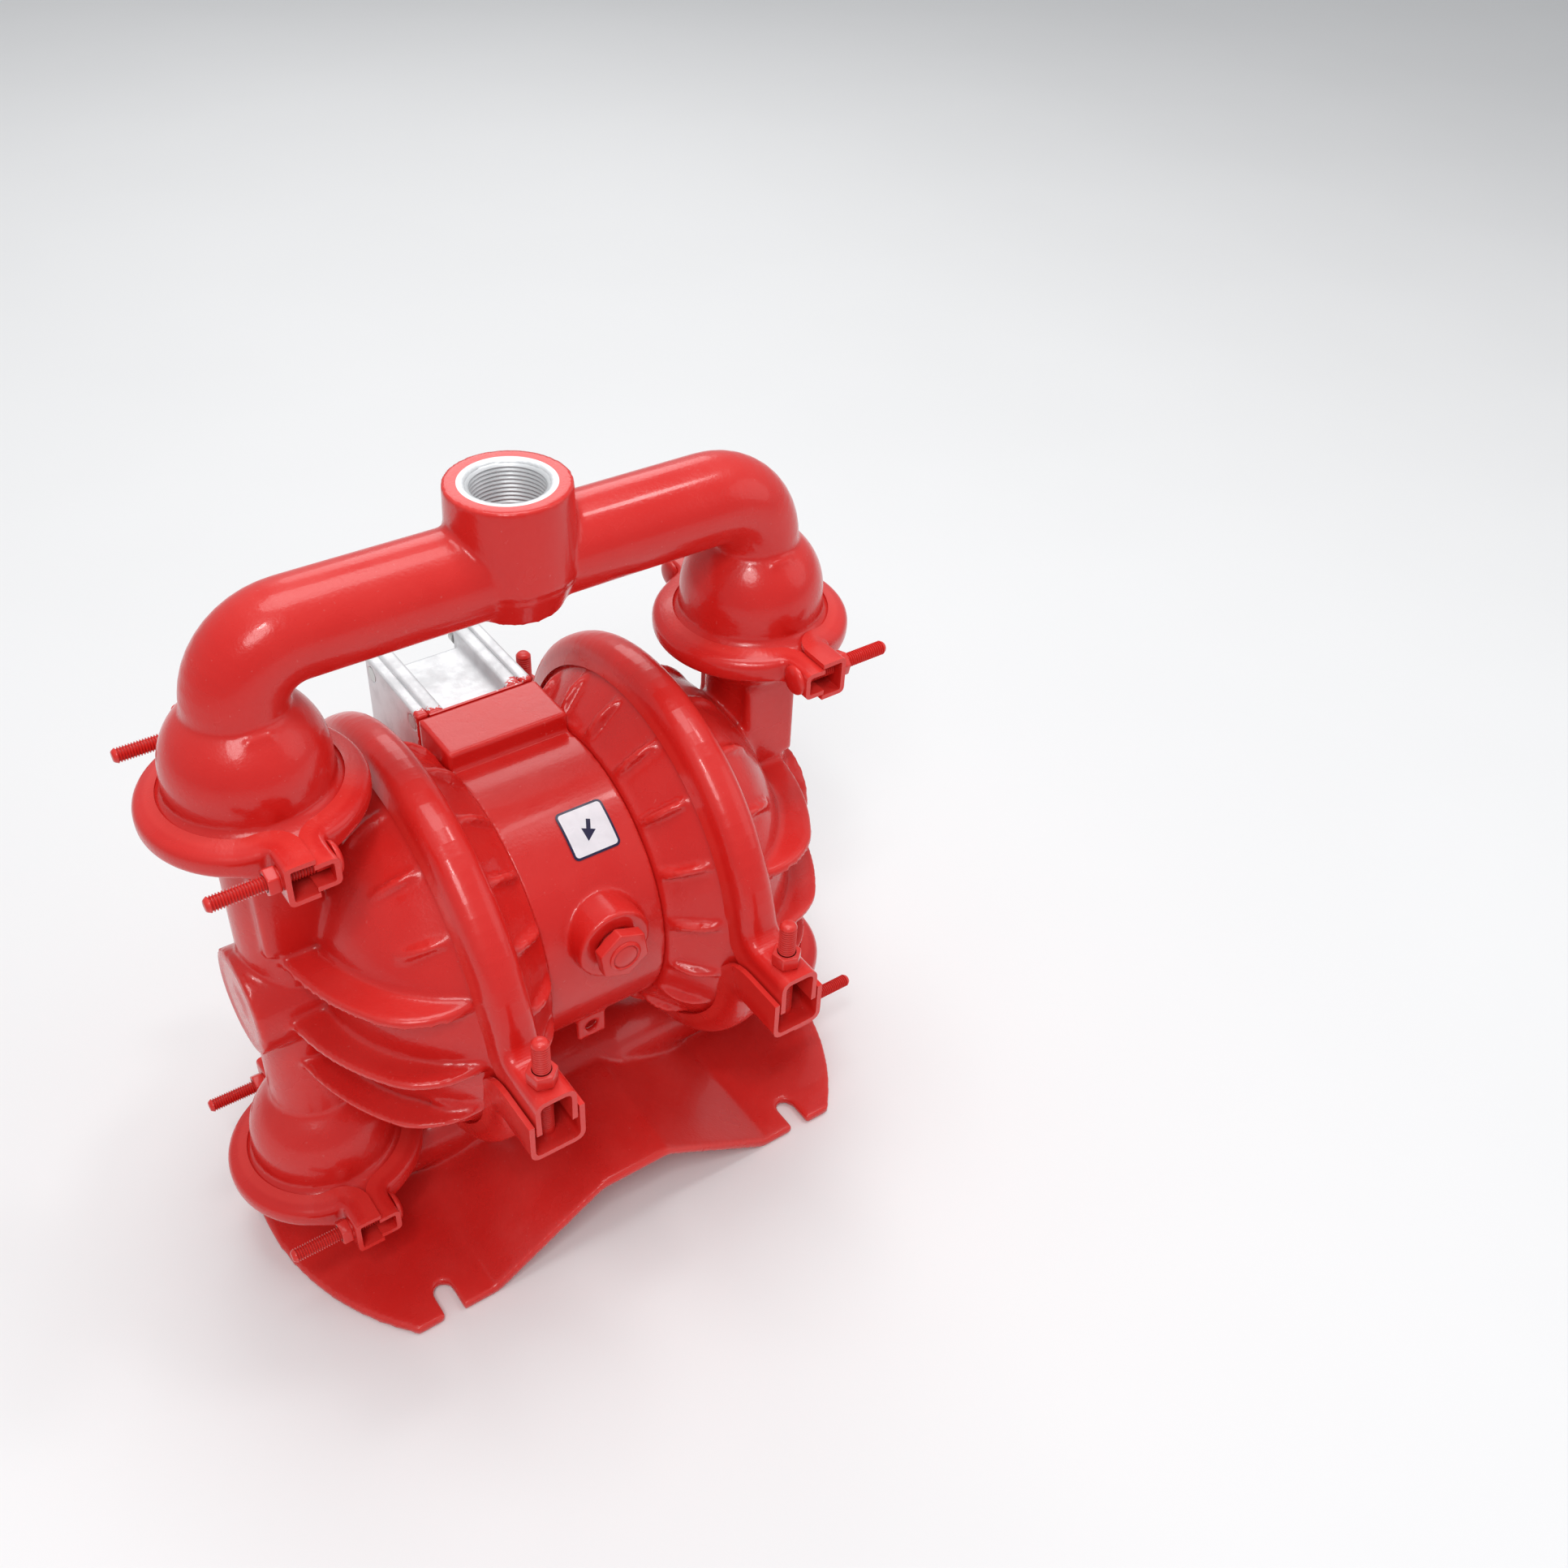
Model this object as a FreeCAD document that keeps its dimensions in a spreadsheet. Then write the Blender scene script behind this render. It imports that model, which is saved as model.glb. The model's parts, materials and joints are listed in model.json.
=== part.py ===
import FreeCAD, Part
import Sketcher
import os
import re

# Air-operated double-diaphragm pump with clamp-band joints.
# X runs along the diaphragm shaft, the air inlet looks along -Y and Z is up.
# The origin is at the middle of the foot, on the surface that the pump stands on.

SIZES = [
    # alias, size in mm or degrees, what it is
    ("overall_height", 450, "floor to the top of the discharge port"),
    ("pump_height", 193.2, "floor to the diaphragm shaft's axis"),
    ("port_rise", 43, "discharge pipe's axis up to the discharge port's face"),
    ("manifold_drop", 84.4, "discharge pipe's axis down to the discharge manifold's joints"),
    ("lower_joint", 55.9, "floor to the inlet manifold's joints"),
    ("chamber_depth", 37.5, "centre block's side to the diaphragm joint"),
    ("column_room", 1.7, "room between the large clamps and the small ones"),
    ("fit_gap", 0.3, "room between pieces that must not touch"),
    ("running_gap", 0.05, "radial room of a sliding fit"),
    ("past", 1, "how far a cutting solid runs past the face it cuts"),
    # castings
    ("pipe_radius", 24.6, "outside radius of the manifold pipes"),
    ("pipe_wall", 4.6, "wall of the manifold pipes"),
    ("bend_radius", 31, "radius of the elbows' centre line"),
    ("dome_radius", 40, "outside radius of the ball domes"),
    ("dome_wall", 5, "wall of the ball domes"),
    ("dome_rise", 21.5, "joint to the dome's centre"),
    ("dome_overlap", 2, "how far flanges and guides run into a dome's wall"),
    ("port_radius", 31.1, "outside radius of the discharge port's boss"),
    ("port_depth", 46, "height of the discharge port's boss"),
    ("port_draft", 1.5, "how much wider that boss is at its foot"),
    ("discharge_bore", 20, "thread radius of the discharge port"),
    ("suction_bore", 20, "thread radius of the suction port"),
    ("suction_radius", 30, "outside radius of the suction port's boss"),
    ("suction_face", 112, "pump's middle to the suction port's face"),
    ("thread_depth", 30, "depth of the threaded ports"),
    ("port_throat", 17.5, "radius of the bore between each threaded port and its pipe"),
    # joints of the valve columns
    ("joint_tube_inset", 4.4, "small joint's rim to the middle of its band's rounded section"),
    ("joint_tube", 9.5, "radius of the small band's rounded section"),
    ("joint_lip_inset", 6, "small joint's rim to the inside of its band"),
    ("joint_lip_half", 7.6, "half width of the small joint at the lip"),
    ("joint_rim", 50, "outside radius of the small joint's flanges"),
    ("flange_fillet", 1, "bevel where a flange meets its casting"),
    ("flange_step", 2, "larger bevel of the flared flanges"),
    ("flange_slope", 4, "joint's lip to where the flange meets the dome"),
    ("cup_depth", 22, "height of the flare on top of each valve column"),
    ("inlet_cup_depth", 20, "height of the flare on each end of the inlet pipe"),
    ("joint_rim_half", 5.2, "half width of the small joint at its rim"),
    ("joint_ear", 11.5, "column's axis to the middle of each small ear"),
    ("inner_ear_half", 8, "half height of the small clamps' inner ears"),
    ("outer_ear_half", 11.5, "half height of the small clamps' outer ears"),
    ("joint_bolt_outset", 12, "small joint's rim to each small bolt's axis"),
    ("small_ear_root", 2, "small joint's rim to the start of the small ears"),
    ("small_ear_end", 10, "small bolt's axis to the end of the small ears"),
    ("small_sheet", 2.5, "thickness of the small ears' side walls"),
    ("inner_channel_end", 1, "column's axis back to the edge of the inner ears' walls"),
    ("outer_channel_end", 2, "column's axis back to the edge of the outer ears' walls"),
    ("joint_bolt", 4, "radius of the small bolts"),
    ("joint_bolt_end", 47, "column's axis to the small bolt's threaded end"),
    ("joint_nut", 12.7, "small nut, across its flats"),
    ("joint_nut_height", 6.5, "small nut's height"),
    ("sheet_wall", 3, "thickness of the clamp bands' ears"),
    # joints of the diaphragms
    ("band_tube_inset", 7.2, "large joint's rim to the middle of its band's rounded section"),
    ("band_tube", 14, "radius of the large band's rounded section"),
    ("band_lip_inset", 9.6, "large joint's rim to the inside of its band"),
    ("band_lip_half", 11.6, "half width of the large joint at the lip"),
    ("band_rim", 118.6, "outside radius of the large joint's flanges"),
    ("band_land", 9, "width of the large joint's sealing face"),
    ("band_rim_half", 7.6, "half width of the large joint at its rim"),
    ("band_bolt_outset", 25, "large joint's rim to each large bolt's axis"),
    ("band_bolt", 4.75, "radius of the large bolts"),
    ("split_half", 4, "half of the gap between the halves of a band"),
    ("band_bolt_top", 45, "shaft's axis up to the large bolt's end"),
    ("band_nut", 14.3, "large nut, across its flats"),
    ("band_nut_height", 8.4, "large nut's height"),
    ("ear_end", 13.4, "large bolt's axis to the end of the large ears"),
    ("ear_root", 6, "how far the large ears run into their band"),
    ("channel_gap", 2, "large band to the start of the ears' side walls"),
    ("upper_channel_end", 6, "shaft's axis down to the edge of the upper ears' walls"),
    ("lower_channel_end", 2, "shaft's axis up to the edge of the lower ears' walls"),
    ("upper_ear_top", 16.5, "shaft's axis up to the upper ear's top"),
    ("lower_ear_drop", 24, "shaft's axis down to the lower ear's underside"),
    ("upper_ear_half", 11.5, "half width of the upper ear"),
    ("lower_ear_half", 15.5, "half width of the lower ear"),
    # pump body
    ("block_half", 36, "half width of the centre block"),
    ("block_radius", 83.5, "radius of the centre block"),
    ("block_wall", 8, "wall of the centre block"),
    ("hub_radius", 37, "radius of the centre block's hub"),
    ("web_half", 9, "half thickness of the centre block's web"),
    ("pad_rise", 93.5, "shaft's axis up to the top of the valve pad"),
    ("pad_drop", 10, "air valve's underside down to the valve pad's underside"),
    ("pad_front", 18.2, "shaft's axis to the front of the valve pad"),
    ("valve_face", 55.8, "shaft's axis to the valve's mounting face"),
    ("valve_rise", 20.8, "shaft's axis up to the underside of the air valve"),
    ("plate_wall", 6, "back wall of the air chambers"),
    ("cone_radius", 86.5, "air chamber's radius beside the block"),
    ("cone_step", 2, "height of the straight start of the air chamber's cone"),
    ("cone_wall", 12, "wall of the air chamber's cone at its foot"),
    ("rod_room", 2, "radial room round the shaft in an air chamber's wall"),
    ("pilot_room", 1, "radial room round the pilot spool in an air chamber's wall"),
    ("rib_half", 2.2, "half thickness of the chambers' leaf ribs"),
    ("rib_disc", 28, "radius of the leaf ribs' crest"),
    ("air_rib_inset", 10, "diaphragm joint back to the centres of the air chambers' rib discs"),
    ("air_rib_radius", 79.4, "shaft's axis to the centres of the air chambers' rib discs"),
    ("bowl_rib_outset", 12.9, "diaphragm joint to the centres of the liquid chambers' rib discs"),
    ("bowl_rib_radius", 79.4, "shaft's axis to the centres of the liquid chambers' rib discs"),
    ("rib_step", 20, "angle between ribs"),
    ("leaf_start", 4, "diaphragm joint to the start of the liquid chambers' leaf ribs"),
    ("leaf_end", 20, "column's axis back to the end of the liquid chambers' leaf ribs"),
    ("bowl_wall", 6, "wall of the liquid chambers"),
    ("bowl_step", 8, "joint's lip to where the bowl's curve starts"),
    ("bowl_slope", 5, "how far the bowl has drawn in there"),
    ("shoulder_radius", 86, "radius of the bowl's shoulder"),
    ("shoulder_inset", 28.3, "column's axis back to the bowl's shoulder"),
    ("crown_radius", 40, "radius of the bowl's crown"),
    ("crown_edge", 8, "column's axis back to the crown's edge"),
    ("crown_inset", 6, "column's axis back to the crown's middle"),
    ("column_radius", 24.3, "outside radius of the valve columns"),
    ("column_wall", 4.8, "wall of the valve columns"),
    ("cap_radius", 30, "radius of the round boss on each liquid chamber"),
    ("cap_start", 40, "diaphragm joint to where that boss starts"),
    ("cap_reach", 28.7, "column's axis to that boss's face"),
    ("fin_half", 2.4, "half thickness of the plate fins"),
    ("fin_pitch", 39, "distance between the plate fins"),
    ("fin_root", 6, "diaphragm joint to the start of the plate fins"),
    ("fin_inset", 4, "inside of the large band to the fins' start"),
    ("fin_rise", 6, "length of the fins' straight step beside the band"),
    ("fin_corner", 98, "radius of the fins' corner"),
    ("fin_corner_inset", 16.3, "column's axis back to the fins' corner"),
    ("fin_bulge", 107, "radius of the fins' curve below the corner"),
    ("fin_bulge_inset", 31.3, "column's axis back to the middle of that curve"),
    ("fin_shoulder", 74, "radius of the fins' curve above the corner"),
    ("fin_shoulder_inset", 0.3, "column's axis back to the middle of that curve"),
    ("fin_crown", 30, "radius of the fins' flat end"),
    ("fin_reach", 13.2, "column's axis to the fins' flat end"),
    ("screw_circle", 28, "radius of the circle of chamber screws"),
    ("chamber_screw", 3, "radius of the chamber screws"),
    ("chamber_head", 5.5, "radius of the chamber screws' heads"),
    ("chamber_head_height", 5, "height of the chamber screws' heads"),
    ("screw_depth", 18, "depth of the chamber screws in the block"),
    # moving parts
    ("stroke_half", 10, "shaft travel each way"),
    ("shaft_radius", 9.5, "radius of the diaphragm shaft"),
    ("bush_wall", 3, "wall of the shaft bushes"),
    ("bush_length", 22, "length of each shaft bush"),
    ("shaft_seal", 4, "width of each shaft seal"),
    ("shaft_seal_room", 2, "bush to its seal"),
    ("diaphragm_half", 1.6, "half thickness of the diaphragms"),
    ("piston_radius", 56, "radius of the inner and outer pistons"),
    ("inner_piston", 8, "thickness of the inner pistons"),
    ("outer_piston", 9, "thickness of the outer pistons"),
    ("piston_crest", 14, "radius of the outer pistons' flat crest"),
    ("piston_rim", 4, "thickness of the outer pistons near their rim"),
    ("inner_draw", 3, "how much smaller the inner pistons are at the diaphragm"),
    ("inner_bevel", 5, "how much smaller the inner pistons are at half their thickness"),
    ("outer_draw", 2, "how much smaller the outer pistons are at the diaphragm"),
    ("outer_bevel", 6, "how much smaller the outer pistons are at their rim's top"),
    ("ball_radius", 24, "radius of the valve balls"),
    ("seat_bore", 18.5, "bore of the valve seats"),
    ("ball_lift", 6, "lift of the valve balls"),
    ("seat_depth", 9, "height of the valve seats"),
    ("seat_bevel", 4.5, "height and width of the seats' bevel"),
    ("seal_groove", 3, "width and depth of the seat seals' groove"),
    ("seat_seal", 1.4, "radius of the seat seals' section"),
    ("cage_half", 2.5, "half thickness of the ball guides"),
    ("stud_radius", 6, "radius of the shaft's studs"),
    ("pilot_radius", 5, "radius of the pilot spool"),
    ("pilot_height", 24, "shaft's axis up to the pilot spool's axis"),
    ("pilot_travel", 4, "pilot spool's travel each way"),
    ("spool_radius", 14, "radius of the air valve's spool"),
    ("spool_travel", 8, "air valve spool's travel each way"),
    ("spool_stop", 0.5, "room between the air valve's spool and its cap at the end of its travel"),
    ("valve_room", 0.5, "air valve's end caps to the air chambers' faces"),
    ("valve_depth", 70, "depth of the air valve"),
    ("valve_flange", 9, "thickness of the air valve's end flanges"),
    ("valve_recess", 8, "step between the end flanges and the body"),
    ("gasket", 1.6, "thickness of the air valve's gasket"),
    ("cap_thickness", 7, "thickness of the air valve's end caps"),
    ("inlet_rise", 24.8, "shaft's axis up to the air inlet's axis"),
    ("inlet_root", 50, "shaft's axis to the start of the air inlet's boss"),
    ("inlet_radius", 21.5, "radius of the air inlet's boss"),
    ("inlet_face", 91, "shaft's axis to the air inlet's face"),
    ("inlet_bore", 10.3, "thread radius of the air inlet"),
    ("inlet_depth", 22, "depth of the air inlet's thread"),
    ("plug_hex", 27, "air inlet plug, across its flats"),
    ("plug_head", 7, "height of the plug's hexagon"),
    ("plug_pad", 11, "height of the plug's round top"),
    ("plug_shank", 18, "length of the plug's thread"),
    ("exhaust_drop", 35, "shaft's axis down to the exhaust's axis"),
    ("exhaust_wall", 3, "how much wider the exhaust's boss is than the muffler"),
    ("exhaust_root", 25, "how far the exhaust's boss starts inside the block"),
    ("exhaust_rise", 5, "how far the exhaust's boss stands out of the block"),
    ("exhaust_depth", 24, "depth of the exhaust's thread"),
    ("muffler_radius", 16, "radius of the muffler"),
    ("muffler_length", 52, "length of the muffler"),
    ("muffler_thread", 9, "thread radius of the muffler"),
    ("muffler_shank", 16, "length of the muffler's thread"),
    ("muffler_collar", 8, "height of the muffler's hexagon"),
    ("valve_screw", 3, "radius of the air valve's screws"),
    ("valve_screw_head", 4.5, "height of those screws' heads"),
    ("valve_screw_depth", 14, "depth of those screws in the valve pad"),
    ("screw_inset", 8, "edge of the air valve to each screw's axis"),
    ("cap_screw", 2.5, "radius of the end caps' screws"),
    ("cap_screw_head", 3, "height of those screws' heads"),
    ("lug_half", 9, "half width of the ground lug"),
    ("lug_front", 62, "shaft's axis to the ground lug's face"),
    ("lug_drop", 74.2, "shaft's axis down to the ground lug's lower edge"),
    ("lug_length", 34.2, "height of the ground lug"),
    ("lug_wall", 4, "thickness of the ground lug"),
    ("lug_hole", 4, "radius of the ground lug's hole"),
    ("lug_hole_rise", 8, "ground lug's lower edge up to its hole's axis"),
    # foot
    ("foot_half", 187, "half length of the foot"),
    ("foot_depth", 110, "half depth of the foot"),
    ("foot_round", 162, "radius of the foot's rounded ends"),
    ("foot_plate", 6, "thickness of the foot's plate"),
    ("arch_height", 49.5, "floor to the top of the foot's arch"),
    ("arch_half", 22, "half length of the arch's flat top"),
    ("arch_end", 92.5, "middle to where the arch meets the floor"),
    ("arch_toe", 4, "how much further out the arch's top side ends"),
    ("slot_place", 121.3, "middle to each foot slot's axis"),
    ("slot_radius", 5.5, "half width of the foot slots"),
    ("slot_end", 93.5, "middle to the round end of each foot slot"),
    ("inlet_pipe_height", 25.5, "floor to the inlet pipe's axis"),
    ("inlet_pipe_radius", 20, "outside radius of the inlet pipe"),
    ("body_radius", 31, "outside radius of the inlet manifold's middle"),
    ("body_height", 34, "floor to the axis of the inlet manifold's middle"),
    ("body_half", 38, "half length of the inlet manifold's middle"),
    ("body_end", 88, "middle to where the inlet manifold's body meets its pipe"),
]

# places that follow from the sizes
PLACES = {
    "clamp_place": "block_half + chamber_depth",
    "column_place": "clamp_place + band_tube + joint_tube + joint_radius + column_room",
    "pipe_height": "overall_height - port_rise",
    "upper_joint": "pipe_height - manifold_drop",
    "joint_lip": "joint_rim - joint_lip_inset",
    "joint_radius": "joint_rim - joint_tube_inset",
    "joint_bolt_place": "joint_rim + joint_bolt_outset",
    "band_lip": "band_rim - band_lip_inset",
    "band_radius": "band_rim - band_tube_inset",
    "band_bolt_place": "band_rim + band_bolt_outset",
    "ear_reach": "band_bolt_place + ear_end",
    "air_rib_place": "clamp_place - air_rib_inset",
    "bowl_rib_place": "clamp_place + bowl_rib_outset",
    "cap_face": "column_place + cap_reach",
    "pad_top": "pump_height + pad_rise",
    "valve_bottom": "pump_height + valve_rise",
    "valve_half": "block_half - cap_thickness - valve_room",
    "inlet_height": "pump_height + inlet_rise",
    "exhaust_height": "pump_height - exhaust_drop",
    "exhaust_face": "block_radius + exhaust_rise",
    "lug_bottom": "pump_height - lug_drop",
    "lug_top": "lug_bottom + lug_length",
}

V = FreeCAD.Vector
UP = FreeCAD.Rotation()
ALONG_X = FreeCAD.Rotation(V(0, 1, 0), 90)
ALONG_Y = FreeCAD.Rotation(V(1, 0, 0), -90)
FORWARD = FreeCAD.Rotation(V(1, 0, 0), 90)

doc = FreeCAD.newDocument("diaphragm_pump")
sheet = doc.addObject("Spreadsheet::Sheet", "Sizes")
for row, (alias, size, note) in enumerate(SIZES, 1):
    sheet.set(f"A{row}", note)
    sheet.set(f"B{row}", str(size))
    sheet.setAlias(f"B{row}", alias)
doc.recompute()
ALIASES = {alias for alias, size, note in SIZES}
nodes = []


def bound(text):
    """The expression with every size's name pointing at its cell, and every place written out."""
    def cell(found):
        name = found[0]
        if name in PLACES:
            return "(" + bound(PLACES[name]) + ")"
        return "Sizes." + name if name in ALIASES else name
    return re.sub(r"[a-z_]+", cell, text)


def number(text):
    """The value that the expression has with the sizes as they are."""
    return float(sheet.evalExpression(bound(text)))


def place(piece, at, turn=UP):
    """Turn a piece, and bind its place to expressions for x, y and z."""
    piece.Placement = FreeCAD.Placement(V(), turn)
    for axis, text in zip("xyz", at):
        piece.setExpression("Placement.Base." + axis, bound(text))
    return piece


def solid(kind, at=("0", "0", "0"), turn=UP, **sizes):
    """A Part primitive whose sizes and place are expressions."""
    piece = doc.addObject("Part::" + kind, kind.lower())
    for name, text in sizes.items():
        piece.setExpression(name, bound(text))
    return place(piece, at, turn)


def cylinder(radius, height, at=("0", "0", "0"), turn=UP):
    return solid("Cylinder", at, turn, Radius=radius, Height=height)


def block(low, high):
    """A box between two corners given as expressions."""
    spans = [f"({high[i]}) - ({low[i]})" for i in range(3)]
    return solid("Box", low, Length=spans[0], Width=spans[1], Height=spans[2])


def hexagon(flats, height, at, turn=UP):
    """A hexagonal prism measured across its flats."""
    prism = solid("Prism", at, turn, Circumradius=f"({flats}) / sqrt(3)", Height=height)
    prism.Polygon = 6
    return prism


def tapered(radii, ends):
    """A solid between two circles that face along X, from one end to the other."""
    rings = [solid("Circle", at, ALONG_X, Radius=radius) for radius, at in zip(radii, ends)]
    taper = doc.addObject("Part::Loft", "taper")
    taper.Sections = rings
    taper.Solid = True
    taper.Ruled = True
    return taper


def joined(pieces):
    if len(pieces) == 1:
        return pieces[0]
    fuse = doc.addObject("Part::MultiFuse", "joined")
    fuse.Shapes = pieces
    return fuse


def cut(base, tools):
    piece = doc.addObject("Part::Cut", "cut")
    piece.Base = base
    piece.Tool = joined(tools)
    return piece


def common(one, other):
    piece = doc.addObject("Part::Common", "common")
    piece.Base = one
    piece.Tool = other
    return piece


def group(pieces):
    """Separate solids that share one node."""
    compound = doc.addObject("Part::Compound", "group")
    compound.Links = pieces
    return compound


def mirrored(piece, normal):
    """The piece's mirror image in a plane through the origin."""
    mirror = doc.addObject("Part::Mirroring", "mirrored")
    mirror.Source = piece
    mirror.Normal = normal
    return mirror


def turned(corners, at=("0", "0", "0"), turn=UP, label="turned"):
    """A body made by revolving a closed outline about its own Z axis.

    Each corner is (radius, height); a corner with two more expressions is
    reached by an arc through that (radius, height).
    """
    body = doc.addObject("PartDesign::Body", label)
    sketch = outline(body, corners, "XZ_Plane")
    revolution = body.newObject("PartDesign::Revolution", "revolution")
    revolution.Profile = sketch
    revolution.ReferenceAxis = (sketch, ["V_Axis"])
    revolution.Angle = 360
    return place(body, at, turn)


def padded(corners, length, at=("0", "0", "0"), turn=UP, plane="XY_Plane"):
    """A body made by padding a closed outline, half of the length each way."""
    body = doc.addObject("PartDesign::Body", "padded")
    pad = body.newObject("PartDesign::Pad", "pad")
    pad.Profile = outline(body, corners, plane)
    pad.Midplane = True
    pad.setExpression("Length", bound(length))
    return place(body, at, turn)


def outline(body, corners, plane):
    """A sketch on one of the body's own planes, every corner bound to its sizes."""
    sketch = body.newObject("Sketcher::SketchObject", "outline")
    origin = [item for item in body.Origin.OriginFeatures if item.Role == plane][0]
    sketch.AttachmentSupport = (origin, [""])
    sketch.MapMode = "FlatFace"
    points = [V(number(corner[0]), number(corner[1]), 0) for corner in corners]
    ends = []
    for i, corner in enumerate(corners):
        start, stop = points[i - 1], points[i]
        first, last = 1, 2
        if len(corner) == 4:
            middle = V(number(corner[2]), number(corner[3]), 0)
            sketch.addGeometry(Part.Arc(start, middle, stop))
            if (middle - start).cross(stop - middle).z < 0:
                first, last = 2, 1
        else:
            sketch.addGeometry(Part.LineSegment(start, stop))
        ends.append((first, last))
    for i, corner in enumerate(corners):
        after = (i + 1) % len(corners)
        sketch.addConstraint(Sketcher.Constraint("Coincident", i, ends[i][1], after, ends[after][0]))
        for axis, text, size in (("X", corner[0], points[i].x), ("Y", corner[1], points[i].y)):
            index = sketch.addConstraint(Sketcher.Constraint("Distance" + axis, i, ends[i][1], size))
            sketch.setExpression(f"Constraints[{index}]", bound(text))
        if len(corner) == 4:
            radius = sketch.Geometry[i].Radius
            sketch.addConstraint(Sketcher.Constraint("Radius", i, radius))
    return sketch


def node(piece, label):
    """Name a finished sub-part; the name is also its file's."""
    piece.Label = label
    nodes.append(piece)
    return piece


def pair(piece, label):
    """A sub-part on the right, and its mirror image on the left; SIDE in the label is replaced."""
    node(piece, label.replace("SIDE", "right"))
    return node(mirrored(piece, V(1, 0, 0)), label.replace("SIDE", "left"))


# ---------------------------------------------------------------- castings

def joint_flange(direction):
    """Flange outline of a valve column's joint: +1 above the joint, -1 below it."""
    sign = "" if direction > 0 else "-"
    return turned([
        ("joint_rim", "0"),
        ("joint_rim", f"{sign}joint_rim_half"),
        ("joint_lip", f"{sign}joint_lip_half"),
        ("joint_lip - flange_fillet", f"{sign}(joint_lip_half + flange_fillet)"),
        ("dome_radius - dome_overlap", f"{sign}(joint_lip_half + flange_slope)"),
        ("dome_radius - dome_wall", f"{sign}(joint_lip_half + flange_slope)"),
        ("dome_radius - dome_wall", "0"),
    ])


def along_column(piece, height):
    return place(piece, ("column_place", "0", height))


def elbow(radius):
    """The quarter bend from the end of the discharge pipe down to its column."""
    bend = solid("Torus", ("column_place - bend_radius", "0", "pipe_height - bend_radius"), FORWARD,
                 Radius1="bend_radius", Radius2=radius)
    bend.Angle3 = 90
    return bend


def ball_centre(joint):
    """Height of a ball's centre when it rests on the seat at this joint."""
    return f"{joint} - seat_bevel + sqrt(ball_radius^2 - seat_bore^2) + fit_gap"


def ball_cage(joint):
    """Four guides in a ball dome, which also stop the ball at the top of its lift."""
    reach = "dome_radius - dome_overlap"
    top = f"{joint} + dome_rise + {reach}"
    foot = f"{joint} + dome_overlap"
    plates = [block((f"column_place - ({reach})", "-cage_half", foot),
                    (f"column_place + ({reach})", "cage_half", top)),
              block(("column_place - cage_half", f"-({reach})", foot),
                    ("column_place + cage_half", reach, top))]
    dome = along_column(solid("Sphere", Radius=reach), f"{joint} + dome_rise")
    neck = along_column(cylinder(reach, "dome_rise"), joint)
    raised = f"{ball_centre(joint)} + ball_lift"
    room = "ball_radius + 2 * fit_gap"
    free = [along_column(solid("Sphere", Radius=room), raised),
            along_column(cylinder(room, f"{raised} - ({joint})"), joint),
            along_column(cylinder("ball_radius / 2", "2 * dome_radius"), joint)]
    return cut(common(joined(plates), joined([dome, neck])), free)


def discharge_manifold():
    """Pipe with two elbows and two ball domes, and the threaded port on top."""
    dome_centre = "upper_joint + dome_rise"
    drop = "pipe_height - bend_radius - (upper_joint + dome_rise)"
    sides = []
    hollows = []
    for wall, pieces in (("", sides), (" - pipe_wall", hollows)):
        radius = "pipe_radius" + wall
        pipe = cylinder(radius, "column_place - bend_radius", ("0", "0", "pipe_height"), ALONG_X)
        stub = along_column(cylinder(radius, drop), dome_centre)
        pieces += [pipe, elbow(radius), stub]
    shell = along_column(solid("Sphere", Radius="dome_radius"), dome_centre)
    neck = along_column(cylinder("dome_radius", "dome_rise"), "upper_joint")
    sides += [shell, neck, along_column(joint_flange(1), "upper_joint")]
    hollows += [along_column(solid("Sphere", Radius="dome_radius - dome_wall"), dome_centre),
                along_column(cylinder("dome_radius - dome_wall", "dome_rise"), "upper_joint")]
    below = along_column(cylinder("joint_rim + past", "dome_radius"), "upper_joint - dome_radius")
    arm = joined([cut(joined(sides), hollows + [below]), ball_cage("upper_joint")])
    boss = solid("Cone", ("0", "0", "overall_height - port_depth"),
                 Radius1="port_radius + port_draft", Radius2="port_radius", Height="port_depth")
    whole = joined([arm, mirrored(arm, V(1, 0, 0)), boss])
    bore = cylinder("discharge_bore", "thread_depth + past", ("0", "0", "overall_height - thread_depth"))
    throat = cylinder("port_throat", "overall_height - pipe_height", ("0", "0", "pipe_height"))
    reach = "port_radius + port_draft + past"
    through = cylinder("pipe_radius - pipe_wall", f"2 * ({reach})", (f"-({reach})", "0", "pipe_height"),
                       ALONG_X)
    return node(cut(whole, [bore, throat, through]), "discharge_manifold")


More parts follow.
